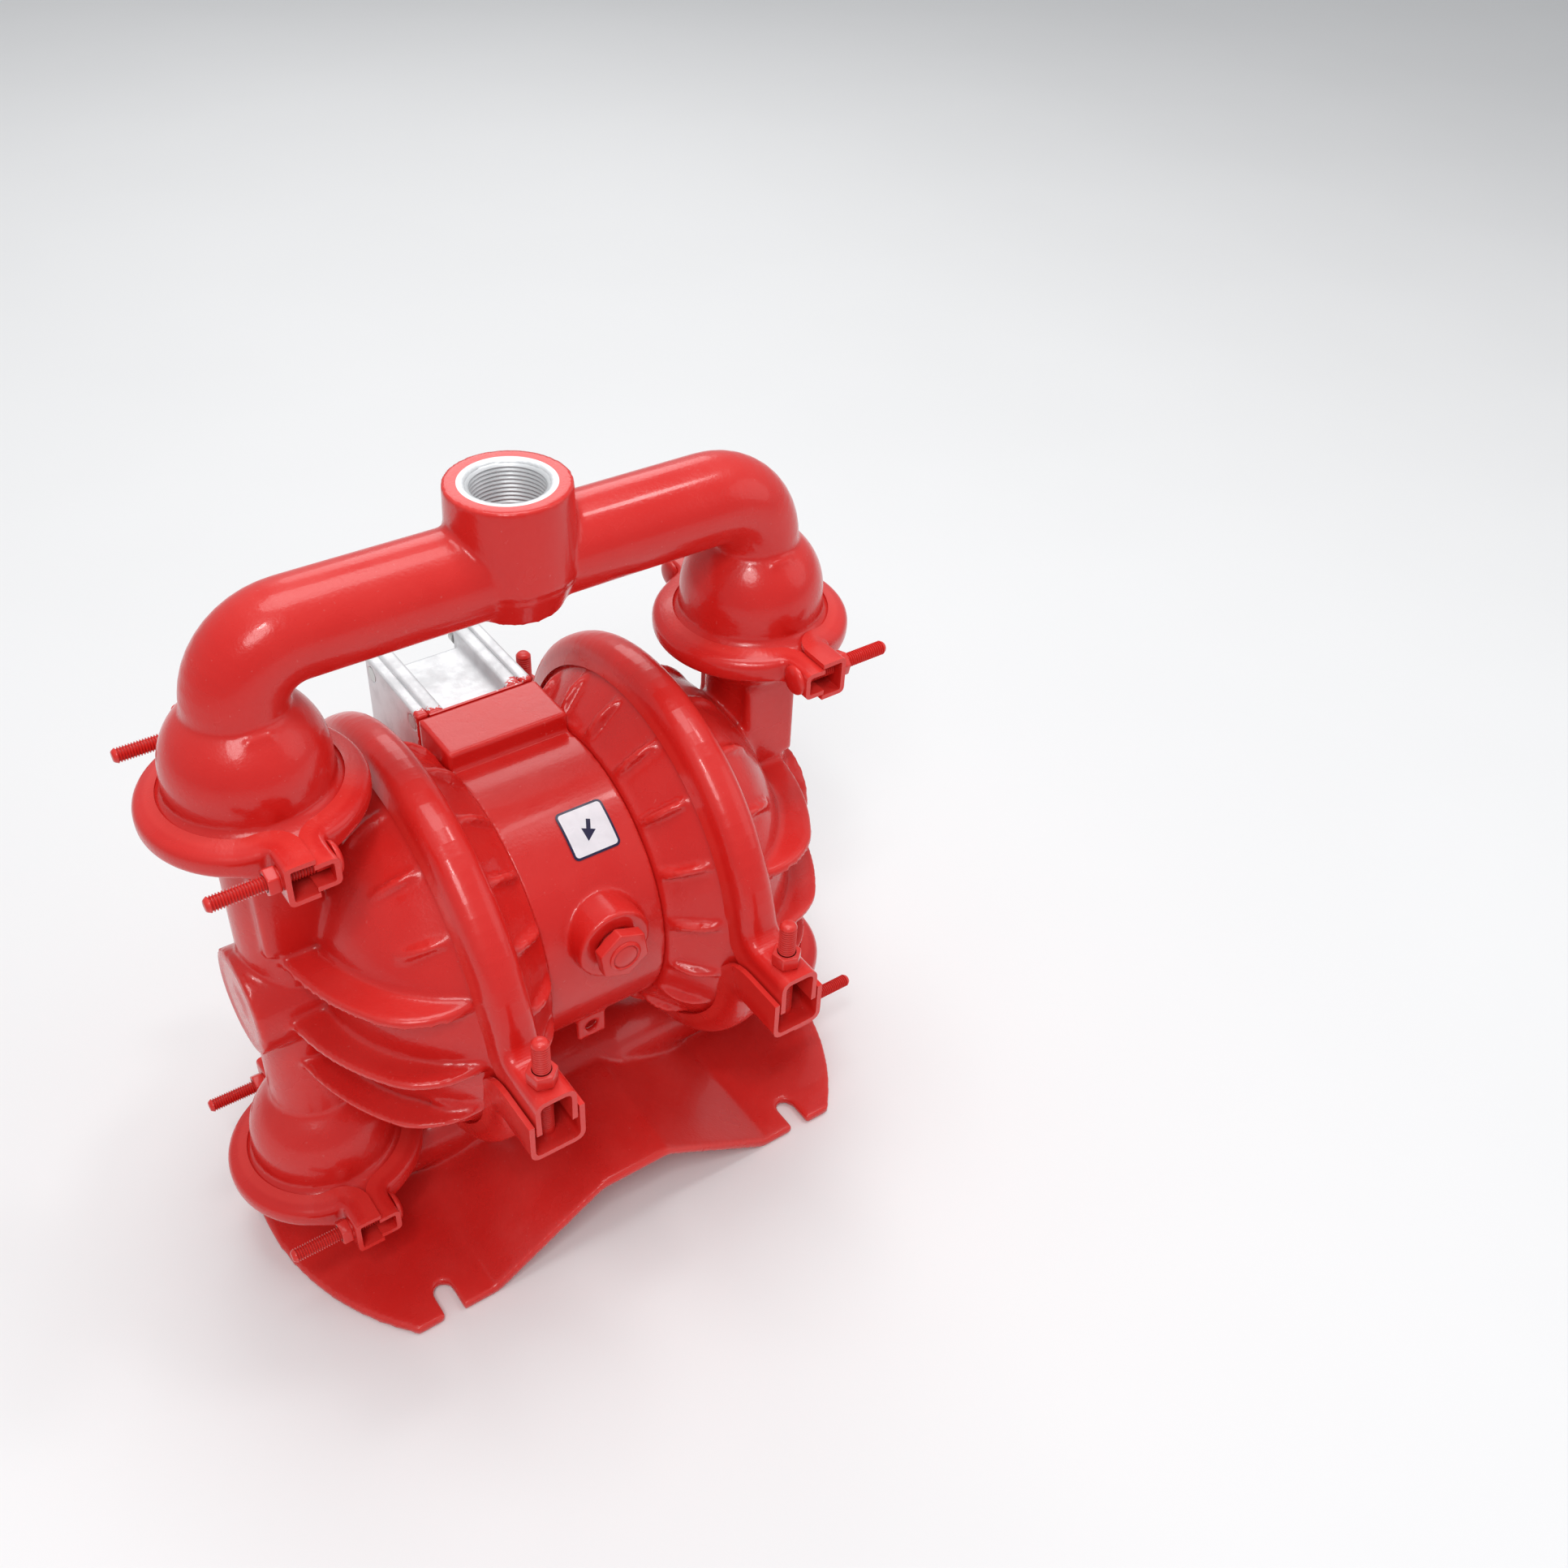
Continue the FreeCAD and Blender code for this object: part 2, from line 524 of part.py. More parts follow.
def foot_plate():
    """The foot's plate: an arched sheet cut to the foot's rounded outline, with four slots."""
    side, toe = "foot_half + past", "arch_end + arch_toe"
    top = [(f"-({side})", "0"), (f"-({side})", "foot_plate"), (f"-({toe})", "foot_plate"),
           ("-arch_half", "arch_height"), ("arch_half", "arch_height"), (toe, "foot_plate"),
           (side, "foot_plate"), (side, "0"), ("arch_end", "0"),
           ("arch_half", "arch_height - foot_plate"), ("-arch_half", "arch_height - foot_plate"),
           ("-arch_end", "0")]
    sheet_body = padded(top, "2 * foot_depth", plane="XZ_Plane")
    ends = [cylinder("foot_round", "arch_height + past", (f"{sign}(foot_half - foot_round)", "0", "0"))
            for sign in ("", "-")]
    plan = common(sheet_body, joined(ends))
    slots = []
    for x in ("slot_place", "-slot_place"):
        for sign in ("", "-"):
            low, high = sorted([f"{sign}slot_end", f"{sign}(foot_depth + past)"], key=number)
            left, right = f"{x} - slot_radius", f"{x} + slot_radius"
            slots.append(block((left, low, "-past"), (right, high, "foot_plate + past")))
            slots.append(cylinder("slot_radius", "foot_plate + 2 * past", (x, f"{sign}slot_end", "-past")))
    return cut(plan, slots)


def inlet_manifold():
    """Foot, inlet pipe with two elbows up to the valve columns, and the suction port at the back."""
    height = "inlet_pipe_height"
    sides = []
    hollows = []
    for wall, pieces in (("", sides), (" - pipe_wall", hollows)):
        radius = "inlet_pipe_radius" + wall
        middle = cylinder("body_radius" + wall, "body_half", ("0", "0", "body_height"), ALONG_X)
        taper = tapered(["body_radius" + wall, radius],
                        [("body_half", "0", "body_height"), ("body_end", "0", height)])
        pipe = cylinder(radius, "column_place - body_end", ("body_end", "0", height), ALONG_X)
        ball = along_column(solid("Sphere", Radius=radius), height)
        riser = along_column(cylinder(radius, f"lower_joint - {height}"), height)
        pieces += [middle, taper, pipe, ball, riser]
    neck = "inlet_pipe_radius - pipe_wall"
    cup = turned([("joint_rim", "0"), ("joint_rim", "-joint_rim_half"), ("joint_lip", "-joint_lip_half"),
                  ("joint_lip - flange_step", "-joint_lip_half - flange_step"),
                  ("inlet_pipe_radius", "-joint_lip_half - inlet_cup_depth"),
                  (neck, "-joint_lip_half - inlet_cup_depth"), (neck, "0")])
    sides.append(along_column(cup, "lower_joint"))
    seat_room = along_column(cylinder("dome_radius - dome_wall", "seat_depth"), "lower_joint - seat_depth")
    arm = joined(sides)
    boss = cylinder("suction_radius", "suction_face", ("0", "0", "body_height"), ALONG_Y)
    whole = joined([foot_plate(), arm, mirrored(arm, V(1, 0, 0)), boss])
    hollow = joined(hollows + [seat_room])
    bore = cylinder("suction_bore", "thread_depth + past",
                    ("0", "suction_face - thread_depth", "body_height"), ALONG_Y)
    throat = cylinder("port_throat", "suction_face - thread_depth + past", ("0", "0", "body_height"), ALONG_Y)
    return node(cut(whole, [hollow, mirrored(hollow, V(1, 0, 0)), bore, throat]), "inlet_manifold")


def leaf_ribs(place_x, radius, angles):
    """Thin discs whose rims stand out of a cone, one at each angle about the X axis."""
    discs = []
    for angle in angles:
        along = FreeCAD.Rotation(V(1, 0, 0), angle)
        spin = along.multiply(ALONG_Y)
        disc = solid("Cylinder", ("0", "0", "0"), spin, Radius="rib_disc", Height="2 * rib_half")
        cosine, sine = f"cos({angle})", f"sin({angle})"
        place_y = f"-({radius}) * {sine} - rib_half * {cosine}"
        place_z = f"pump_height + ({radius}) * {cosine} - rib_half * {sine}"
        place(disc, (place_x, place_y, place_z), spin)
        discs.append(disc)
    return discs


def chamber_screws(radius, start, length):
    """Four cylinders on the circle of the screws that hold an air chamber to the block."""
    return [cylinder(radius, length, (start, f"screw_circle * cos({angle})",
                                      f"pump_height + screw_circle * sin({angle})"), ALONG_X)
            for angle in (45, 135, 225, 315)]


def air_chamber():
    """Cone between the centre block and the diaphragm joint, with leaf ribs all round."""
    wall = [("band_rim", "clamp_place - diaphragm_half"), ("band_rim", "clamp_place - band_rim_half"),
            ("band_lip", "clamp_place - band_lip_half"),
            ("band_lip - flange_step", "clamp_place - band_lip_half - flange_step"),
            ("cone_radius", "block_half + cone_step"), ("cone_radius", "block_half"), ("0", "block_half"),
            ("0", "clamp_place - diaphragm_half")]
    hollow = [("band_lip - band_land", "clamp_place"),
              ("band_lip - band_land", "clamp_place - band_lip_half"),
              ("cone_radius - cone_wall", "block_half + plate_wall"), ("0", "block_half + plate_wall"),
              ("0", "clamp_place")]
    at = ("0", "0", "pump_height")
    ribs = leaf_ribs("air_rib_place", "air_rib_radius", [number("rib_step") * i for i in range(18)])
    rim, joint = "band_lip - flange_fillet", "clamp_place - flange_step"
    trim = turned([(rim, "block_half"), (rim, joint), ("0", joint), ("0", "block_half")], at, ALONG_X)
    shell = joined([turned(wall, at, ALONG_X), common(joined(ribs), trim)])
    bore = cylinder("shaft_radius + rod_room", "plate_wall + 2 * past",
                    ("block_half - past", "0", "pump_height"), ALONG_X)
    pilot = cylinder("pilot_radius + pilot_room", "plate_wall + 2 * past",
                     ("block_half - past", "0", "pump_height + pilot_height"), ALONG_X)
    screws = chamber_screws("chamber_screw", "block_half - screw_depth", "screw_depth + 2 * plate_wall")
    pair(cut(shell, [turned(hollow, at, ALONG_X), bore, pilot] + screws), "SIDE_air_chamber")


def liquid_chamber():
    """Bowl with plate fins and leaf ribs, valve column, lower ball dome and round boss."""
    at = ("0", "0", "pump_height")
    bowl = [("band_rim", "clamp_place + band_rim_half"), ("band_rim", "clamp_place + diaphragm_half"),
            ("0", "clamp_place + diaphragm_half"), ("0", "column_place - crown_inset"),
            ("crown_radius", "column_place - crown_edge"),
            ("band_lip - bowl_slope", "clamp_place + band_lip_half + bowl_step",
             "shoulder_radius", "column_place - shoulder_inset"),
            ("band_lip - flange_fillet", "clamp_place + band_lip_half + flange_fillet"),
            ("band_lip", "clamp_place + band_lip_half")]
    hollow = [("0", "clamp_place"), ("0", "column_place - crown_inset - bowl_wall"),
              ("crown_radius - bowl_wall", "column_place - crown_edge - bowl_wall"),
              ("band_lip - band_land", "clamp_place + band_lip_half",
               "shoulder_radius - bowl_wall", "column_place - shoulder_inset - bowl_wall"),
              ("band_lip - band_land", "clamp_place")]
    edge = "clamp_place + band_tube + fit_gap"
    root, crown = "clamp_place + fin_root", "column_place + fin_reach"
    step_in, step_out = "band_lip - fin_inset", "band_lip + flange_fillet"
    envelope = [("0", root), (step_in, root), (step_in, edge), (step_out, edge),
                (step_out, edge + " + fin_rise"),
                ("fin_corner", "column_place - fin_corner_inset",
                 "fin_bulge", "column_place - fin_bulge_inset"),
                ("fin_crown", crown, "fin_shoulder", "column_place - fin_shoulder_inset"), ("0", crown)]
    slabs = [block((root, "-band_rim", f"pump_height + {step} * fin_pitch - fin_half"),
                   (crown, "band_rim", f"pump_height + {step} * fin_pitch + fin_half"))
             for step in (-1, 0, 1)]
    fins = common(joined(slabs), turned(envelope, at, ALONG_X))
    leaf_angles = [number("rib_step") * (i + 0.5) for i in range(18)]
    leaves = joined(leaf_ribs("bowl_rib_place", "bowl_rib_radius", leaf_angles))
    rim, start, tip = "band_lip - flange_fillet", "clamp_place + leaf_start", "column_place - leaf_end"
    guard = turned([(rim, start), (rim, tip), ("0", tip), ("0", start)], at, ALONG_X)
    dome_centre = "lower_joint + dome_rise"
    outer = [turned(bowl, at, ALONG_X), fins, common(leaves, guard),
             cylinder("cap_radius", "cap_face - clamp_place - cap_start",
                      ("clamp_place + cap_start", "0", "pump_height"), ALONG_X),
             along_column(cylinder("column_radius", f"upper_joint - ({dome_centre})"), dome_centre),
             along_column(solid("Sphere", Radius="dome_radius"), dome_centre),
             along_column(cylinder("dome_radius", "dome_rise"), "lower_joint"),
             along_column(joint_flange(1), "lower_joint"),
             along_column(upper_cup(), "upper_joint")]
    inner = [turned(hollow, at, ALONG_X),
             along_column(cylinder("column_radius - column_wall", f"upper_joint - ({dome_centre}) + past"),
                          dome_centre),
             along_column(solid("Sphere", Radius="dome_radius - dome_wall"), dome_centre),
             along_column(cylinder("dome_radius - dome_wall", "dome_rise + past"), "lower_joint - past"),
             along_column(cylinder("dome_radius - dome_wall", "seat_depth"), "upper_joint - seat_depth"),
             along_column(cylinder("joint_rim + past", "dome_radius"), "lower_joint - dome_radius")]
    pair(joined([cut(joined(outer), inner), ball_cage("lower_joint")]), "SIDE_liquid_chamber")


def upper_cup():
    """Flared top of the valve column, with the lower flange of the discharge joint."""
    return turned([("joint_rim", "0"), ("joint_rim", "-joint_rim_half"), ("joint_lip", "-joint_lip_half"),
                   ("joint_lip - flange_step", "-joint_lip_half - flange_step"),
                   ("column_radius", "-joint_lip_half - cup_depth"),
                   ("column_radius - column_wall", "-joint_lip_half - cup_depth"),
                   ("column_radius - column_wall", "0")])


def centre_block():
    """Drum between the air chambers, with the shaft's hub, the air inlet's boss and the valve pad."""
    at = ("-block_half", "0", "pump_height")
    drum = cylinder("block_radius", "2 * block_half", at, ALONG_X)
    above_valve = block(("-block_half - past", "valve_face", "valve_bottom"),
                        ("block_half + past", "block_radius + past", "pad_top"))
    pockets = []
    for start in ("-block_half", "web_half"):
        place_x = (start, "0", "pump_height")
        wide = cylinder("block_radius - block_wall", "block_half - web_half", place_x, ALONG_X)
        hub = cylinder("hub_radius", "block_half - web_half", place_x, ALONG_X)
        pockets.append(cut(wide, [hub]))
    pad = block(("-block_half", "pad_front", "valve_bottom - pad_drop"),
                ("block_half", "valve_face", "pad_top"))
    boss = cylinder("inlet_radius", "inlet_face - inlet_root", ("0", "-inlet_root", "inlet_height"), FORWARD)
    exhaust = cylinder("muffler_radius + exhaust_wall", "exhaust_root + exhaust_rise",
                       ("0", "block_radius - exhaust_root", "exhaust_height"), ALONG_Y)
    lug = block(("-lug_half", "-lug_front", "lug_bottom"), ("lug_half", "-lug_front + lug_wall", "lug_top"))
    lug_hole = cylinder("lug_hole", "lug_wall + 2 * past",
                        ("0", "-lug_front - past", "lug_bottom + lug_hole_rise"), ALONG_Y)
    body = joined([cut(drum, pockets + [above_valve]), pad, boss, exhaust, lug])
    shaft_bore = cylinder("shaft_radius + bush_wall", "2 * block_half", at, ALONG_X)
    pilot_bore = cylinder("pilot_radius + bush_wall", "2 * block_half",
                          ("-block_half", "0", "pump_height + pilot_height"), ALONG_X)
    inlet = cylinder("inlet_bore", "inlet_depth", ("0", "-inlet_face + inlet_depth", "inlet_height"), FORWARD)
    outlet = cylinder("muffler_thread", "exhaust_depth + past",
                      ("0", "exhaust_face - exhaust_depth", "exhaust_height"), ALONG_Y)
    screws = chamber_screws("chamber_screw", "block_half - screw_depth", "screw_depth + past")
    screws += chamber_screws("chamber_screw", "-block_half - past", "screw_depth + past")
    holes = valve_screws("valve_screw", "valve_face - valve_screw_depth", "valve_screw_depth + past")
    return node(cut(body, [lug_hole, shaft_bore, pilot_bore, inlet, outlet] + screws + holes), "centre_block")


def valve_screws(radius, start, length):
    """Four cylinders along Y at the corners of the air valve."""
    return [cylinder(radius, length, (x, start, z), ALONG_Y)
            for x in ("valve_half - valve_flange / 2", "-valve_half + valve_flange / 2")
            for z in ("valve_bottom + screw_inset", "pad_top - screw_inset")]


def air_valve():
    """Valve body with its end caps, gasket, screws and spool."""
    front, back = "valve_face + gasket", "valve_face + valve_depth"
    middle_y, middle_z = "valve_face + gasket + valve_depth / 2", "(valve_bottom + pad_top) / 2"
    whole = block(("-valve_half", front, "valve_bottom"), ("valve_half", back, "pad_top"))
    inside = "valve_half - valve_flange"
    start = f"-({inside})"
    waists = [block((start, front, "pad_top - valve_recess"), (inside, f"{back} + past", "pad_top + past")),
              block((start, front, "valve_bottom - past"), (inside, back, "valve_bottom + valve_recess")),
              block((start, f"{back} - valve_recess", "valve_bottom"), (inside, f"{back} + past", "pad_top"))]
    bore = cylinder("spool_radius + running_gap", "2 * valve_half",
                    ("-valve_half", middle_y, middle_z), ALONG_X)
    node(cut(whole, waists + [bore] + valve_screws("valve_screw", "valve_face", "valve_depth + past")),
         "air_valve_body")
    sheet_gasket = block(("-valve_half", "valve_face", "valve_bottom"), ("valve_half", front, "pad_top"))
    gasket_holes = valve_screws("valve_screw", "valve_face - past", "gasket + 2 * past")
    node(cut(sheet_gasket, gasket_holes), "air_valve_gasket")
    cap = block(("valve_half", front, "valve_bottom"), ("valve_half + cap_thickness", back, "pad_top"))
    corners = [(y, z) for y in (f"{front} + screw_inset", f"{back} - screw_inset")
               for z in ("valve_bottom + screw_inset", "pad_top - screw_inset")]
    screws = []
    for y, z in corners:
        shank = cylinder("cap_screw", "cap_thickness", ("valve_half", y, z), ALONG_X)
        head = cylinder("1.8 * cap_screw", "cap_screw_head",
                        ("valve_half + cap_thickness - cap_screw_head", y, z), ALONG_X)
        screws.append(joined([shank, head]))
    pair(cut(cap, screws), "air_valve_SIDE_end_cap")
    row = group(screws)
    node(group([row, mirrored(row, V(1, 0, 0))]), "end_cap_screws")
    long_screws = []
    for shank, head in zip(valve_screws("valve_screw", "valve_face - valve_screw_depth",
                                        "valve_screw_depth + valve_depth"),
                           valve_screws("1.8 * valve_screw", back, "valve_screw_head")):
        long_screws.append(joined([shank, head]))
    node(group(long_screws), "air_valve_screws")
    half = "valve_half - spool_travel - spool_stop"
    lands = [cylinder("spool_radius", f"({half}) / 2", (x, middle_y, middle_z), ALONG_X)
             for x in (f"-({half})", f"-({half}) / 4", f"({half}) / 2")]
    stem = cylinder("spool_radius / 2", f"2 * ({half})", (f"-({half})", middle_y, middle_z), ALONG_X)
    node(joined(lands + [stem]), "air_valve_spool")


def air_inlet_plug():
    """Hexagon plug that closes the air inlet."""
    head = hexagon("plug_hex", "plug_head", ("0", "-inlet_face", "inlet_height"), FORWARD)
    pad = cylinder("plug_hex / 3", "plug_pad", ("0", "-inlet_face", "inlet_height"), FORWARD)
    shank = cylinder("inlet_bore", "plug_shank", ("0", "-inlet_face + plug_shank", "inlet_height"), FORWARD)
    node(joined([head, pad, shank]), "air_inlet_plug")


def muffler():
    """Exhaust muffler screwed into the back of the centre block."""
    shank = cylinder("muffler_thread", "muffler_shank",
                     ("0", "exhaust_face - muffler_shank", "exhaust_height"), ALONG_Y)
    collar = hexagon("1.6 * muffler_radius", "muffler_collar",
                     ("0", "exhaust_face", "exhaust_height"), ALONG_Y)
    body = cylinder("muffler_radius", "muffler_length",
                    ("0", "exhaust_face + muffler_collar", "exhaust_height"), ALONG_Y)
    node(joined([shank, collar, body]), "muffler")


def shaft_parts():
    """Diaphragm shaft, its bushes and seals, the pilot spool and the chamber screws."""
    at_start = ("-block_half", "0", "pump_height")
    inner_face = "clamp_place - diaphragm_half - inner_piston"
    rod = cylinder("shaft_radius", f"2 * ({inner_face})", (f"-({inner_face})", "0", "pump_height"), ALONG_X)
    stud_half = "clamp_place + diaphragm_half + outer_piston / 2"
    stud = cylinder("stud_radius", f"2 * ({stud_half})", (f"-({stud_half})", "0", "pump_height"), ALONG_X)
    node(joined([rod, stud]), "diaphragm_shaft")
    bush = cut(cylinder("shaft_radius + bush_wall", "bush_length",
                        ("block_half - bush_length", "0", "pump_height"), ALONG_X),
               [cylinder("shaft_radius + running_gap", "3 * block_half", at_start, ALONG_X)])
    pair(bush, "SIDE_shaft_bush")
    seal_start = "block_half - bush_length - shaft_seal_room - shaft_seal"
    seal = cut(cylinder("shaft_radius + bush_wall", "shaft_seal", (seal_start, "0", "pump_height"), ALONG_X),
               [cylinder("shaft_radius + fit_gap", "3 * block_half", at_start, ALONG_X)])
    node(group([seal, mirrored(seal, V(1, 0, 0))]), "shaft_seals")
    pilot_at = ("-block_half", "0", "pump_height + pilot_height")
    sleeve = cut(cylinder("pilot_radius + bush_wall", "2 * block_half", pilot_at, ALONG_X),
                 [cylinder("pilot_radius + running_gap", "3 * block_half", pilot_at, ALONG_X)])
    node(sleeve, "pilot_sleeve")
    pilot_half = f"{inner_face} - stroke_half - pilot_travel - 3 * fit_gap"
    node(cylinder("pilot_radius", f"2 * ({pilot_half})",
                  (f"-({pilot_half})", "0", "pump_height + pilot_height"), ALONG_X), "pilot_spool")
    shanks = chamber_screws("chamber_screw", "block_half - screw_depth", "screw_depth + plate_wall")
    heads = chamber_screws("chamber_head", "block_half + plate_wall", "chamber_head_height")
    screws = group([joined([shank, head]) for shank, head in zip(shanks, heads)])
    node(group([screws, mirrored(screws, V(1, 0, 0))]), "chamber_screws")


def diaphragms():
    """Each diaphragm between its inner and outer pistons."""
    at = ("0", "0", "pump_height")
    inner, outer = "clamp_place - diaphragm_half", "clamp_place + diaphragm_half"
    sheet_body = turned([("band_rim", inner), ("band_rim", outer), ("stud_radius", outer),
                         ("stud_radius", inner)], at, ALONG_X)
    pair(sheet_body, "SIDE_diaphragm")
    inside = turned([("stud_radius", inner), ("piston_radius - inner_draw", inner),
                     ("piston_radius - inner_bevel", f"{inner} - inner_piston / 2"),
                     ("2 * shaft_radius", f"{inner} - inner_piston"),
                     ("stud_radius", f"{inner} - inner_piston")], at, ALONG_X)
    pair(inside, "SIDE_inner_piston")
    crest, seat = f"{outer} + outer_piston", f"{outer} + outer_piston / 2"
    outside = turned([("0", crest), ("piston_crest", crest),
                      ("piston_radius - outer_bevel", f"{outer} + piston_rim"),
                      ("piston_radius - outer_draw", outer), ("stud_radius", outer), ("stud_radius", seat),
                      ("0", seat)], at, ALONG_X)
    pair(outside, "SIDE_outer_piston")


def valves():
    """Balls, seats and seat seals of the four valves."""
    seals = []
    rim = "dome_radius - dome_wall"
    for level in ("upper", "lower"):
        joint = level + "_joint"
        ball = along_column(solid("Sphere", Radius="ball_radius"), ball_centre(joint))
        pair(ball, level + "_SIDE_ball")
        ring = turned([(rim, "-seat_depth"), (rim, "-seal_groove"), (f"{rim} - seal_groove", "-seal_groove"),
                       (f"{rim} - seal_groove", "0"),
                       ("seat_bore + seat_bevel", "0"), ("seat_bore", "-seat_bevel"),
                       ("seat_bore", "-seat_depth")])
        pair(along_column(ring, joint), level + "_SIDE_seat")
        seal = solid("Torus", Radius1=f"{rim} - seal_groove / 2", Radius2="seat_seal")
        seals.append(along_column(seal, f"{joint} - seal_groove / 2"))
    row = group(seals)
    node(group([row, mirrored(row, V(1, 0, 0))]), "seat_seals")


# ------------------------------------------------------------- clamp bands

def band_ring(ring_radius, tube, lip, lip_half, rim, rim_half, at, turn=UP):
    """A whole clamp band: a rounded ring with a wedge groove that holds the two flanges."""
    bottom = f"{rim} + flange_step"
    groove = turned([(f"{lip} - 2 * {tube}", f"-{tube} - past"), (f"{lip} - 2 * {tube}", f"{tube} + past"),
                     (lip, f"{tube} + past"), (lip, lip_half), (rim, rim_half), (bottom, rim_half),
                     (bottom, f"-{rim_half}"), (rim, f"-{rim_half}"), (lip, f"-{lip_half}"),
                     (lip, f"-{tube} - past")], at, turn)
    return cut(solid("Torus", at, turn, Radius1=ring_radius, Radius2=tube), [groove])


def large_clamp():
    """Two halves round each diaphragm joint, with nested channel ears at the front and back."""
    axis = ("clamp_place", "0", "pump_height")
    sizes = ("band_radius", "band_tube", "band_lip", "band_lip_half", "band_rim", "band_rim_half")
    reach = "band_rim + band_tube"
    start = "band_radius + band_tube - ear_root"
    walls_start = "band_radius + band_tube + channel_gap"
    for name, away, plate, half, lip in (
            ("upper", 1, "upper_ear_top", "upper_ear_half", "upper_channel_end"),
            ("lower", -1, "lower_ear_drop", "lower_ear_half", "lower_channel_end")):
        levels = sorted([f"pump_height {'+' if away > 0 else '-'} split_half",
                         f"pump_height {'+' if away < 0 else '-'} ({reach})"], key=number)
        gap = block(("clamp_place - 2 * band_tube", f"-({reach})", levels[0]),
                    ("clamp_place + 2 * band_tube", reach, levels[1]))
        pieces = [cut(band_ring(*sizes, axis, ALONG_X), [gap])]
        top = f"pump_height + {plate}" if away > 0 else f"pump_height - {plate}"
        under = f"pump_height + {plate} - sheet_wall" if away > 0 else f"pump_height - {plate} + sheet_wall"
        end = f"pump_height - {lip}" if away > 0 else f"pump_height + {lip}"
        holes = []
        for front in (-1, 1):
            near, far = ("-ear_reach", f"-({start})") if front < 0 else (start, "ear_reach")
            wall_near, wall_far = (near, f"-({walls_start})") if front < 0 else (walls_start, far)
            low, high = sorted([top, under], key=number)
            pieces.append(block((f"clamp_place - {half}", near, low), (f"clamp_place + {half}", far, high)))
            low, high = sorted([top, end], key=number)
            for x in (f"clamp_place - {half}", f"clamp_place + {half} - sheet_wall"):
                pieces.append(block((x, wall_near, low), (f"{x} + sheet_wall", wall_far, high)))
            holes.append(cylinder("band_bolt + fit_gap", "lower_ear_drop + band_bolt_top",
                                  ("clamp_place", f"{front} * band_bolt_place",
                                   "pump_height - lower_ear_drop - past")))
        pair(cut(joined(pieces), holes), f"SIDE_large_clamp_{name}_half")


def large_clamp_fasteners():
    """Round-headed bolts and hexagon nuts of the large clamps."""
    bolts = []
    nuts = []
    for y in ("-band_bolt_place", "band_bolt_place"):
        shank = cylinder("band_bolt", "lower_ear_drop + band_bolt_top",
                         ("clamp_place", y, "pump_height - lower_ear_drop"))
        head = solid("Cone", ("clamp_place", y, "pump_height - lower_ear_drop - band_bolt"),
                     Radius1="band_bolt + 1", Radius2="2.1 * band_bolt", Height="band_bolt")
        bolts.append(joined([shank, head]))
        nut = hexagon("band_nut", "band_nut_height", ("clamp_place", y, "pump_height + upper_ear_top"))
        hole = cylinder("band_bolt", "band_nut_height", ("clamp_place", y, "pump_height + upper_ear_top"))
        nuts.append(cut(nut, [hole]))
    for pieces, label in ((bolts, "large_clamp_bolts"), (nuts, "large_clamp_nuts")):
        row = group(pieces)
        node(group([row, mirrored(row, V(1, 0, 0))]), label)


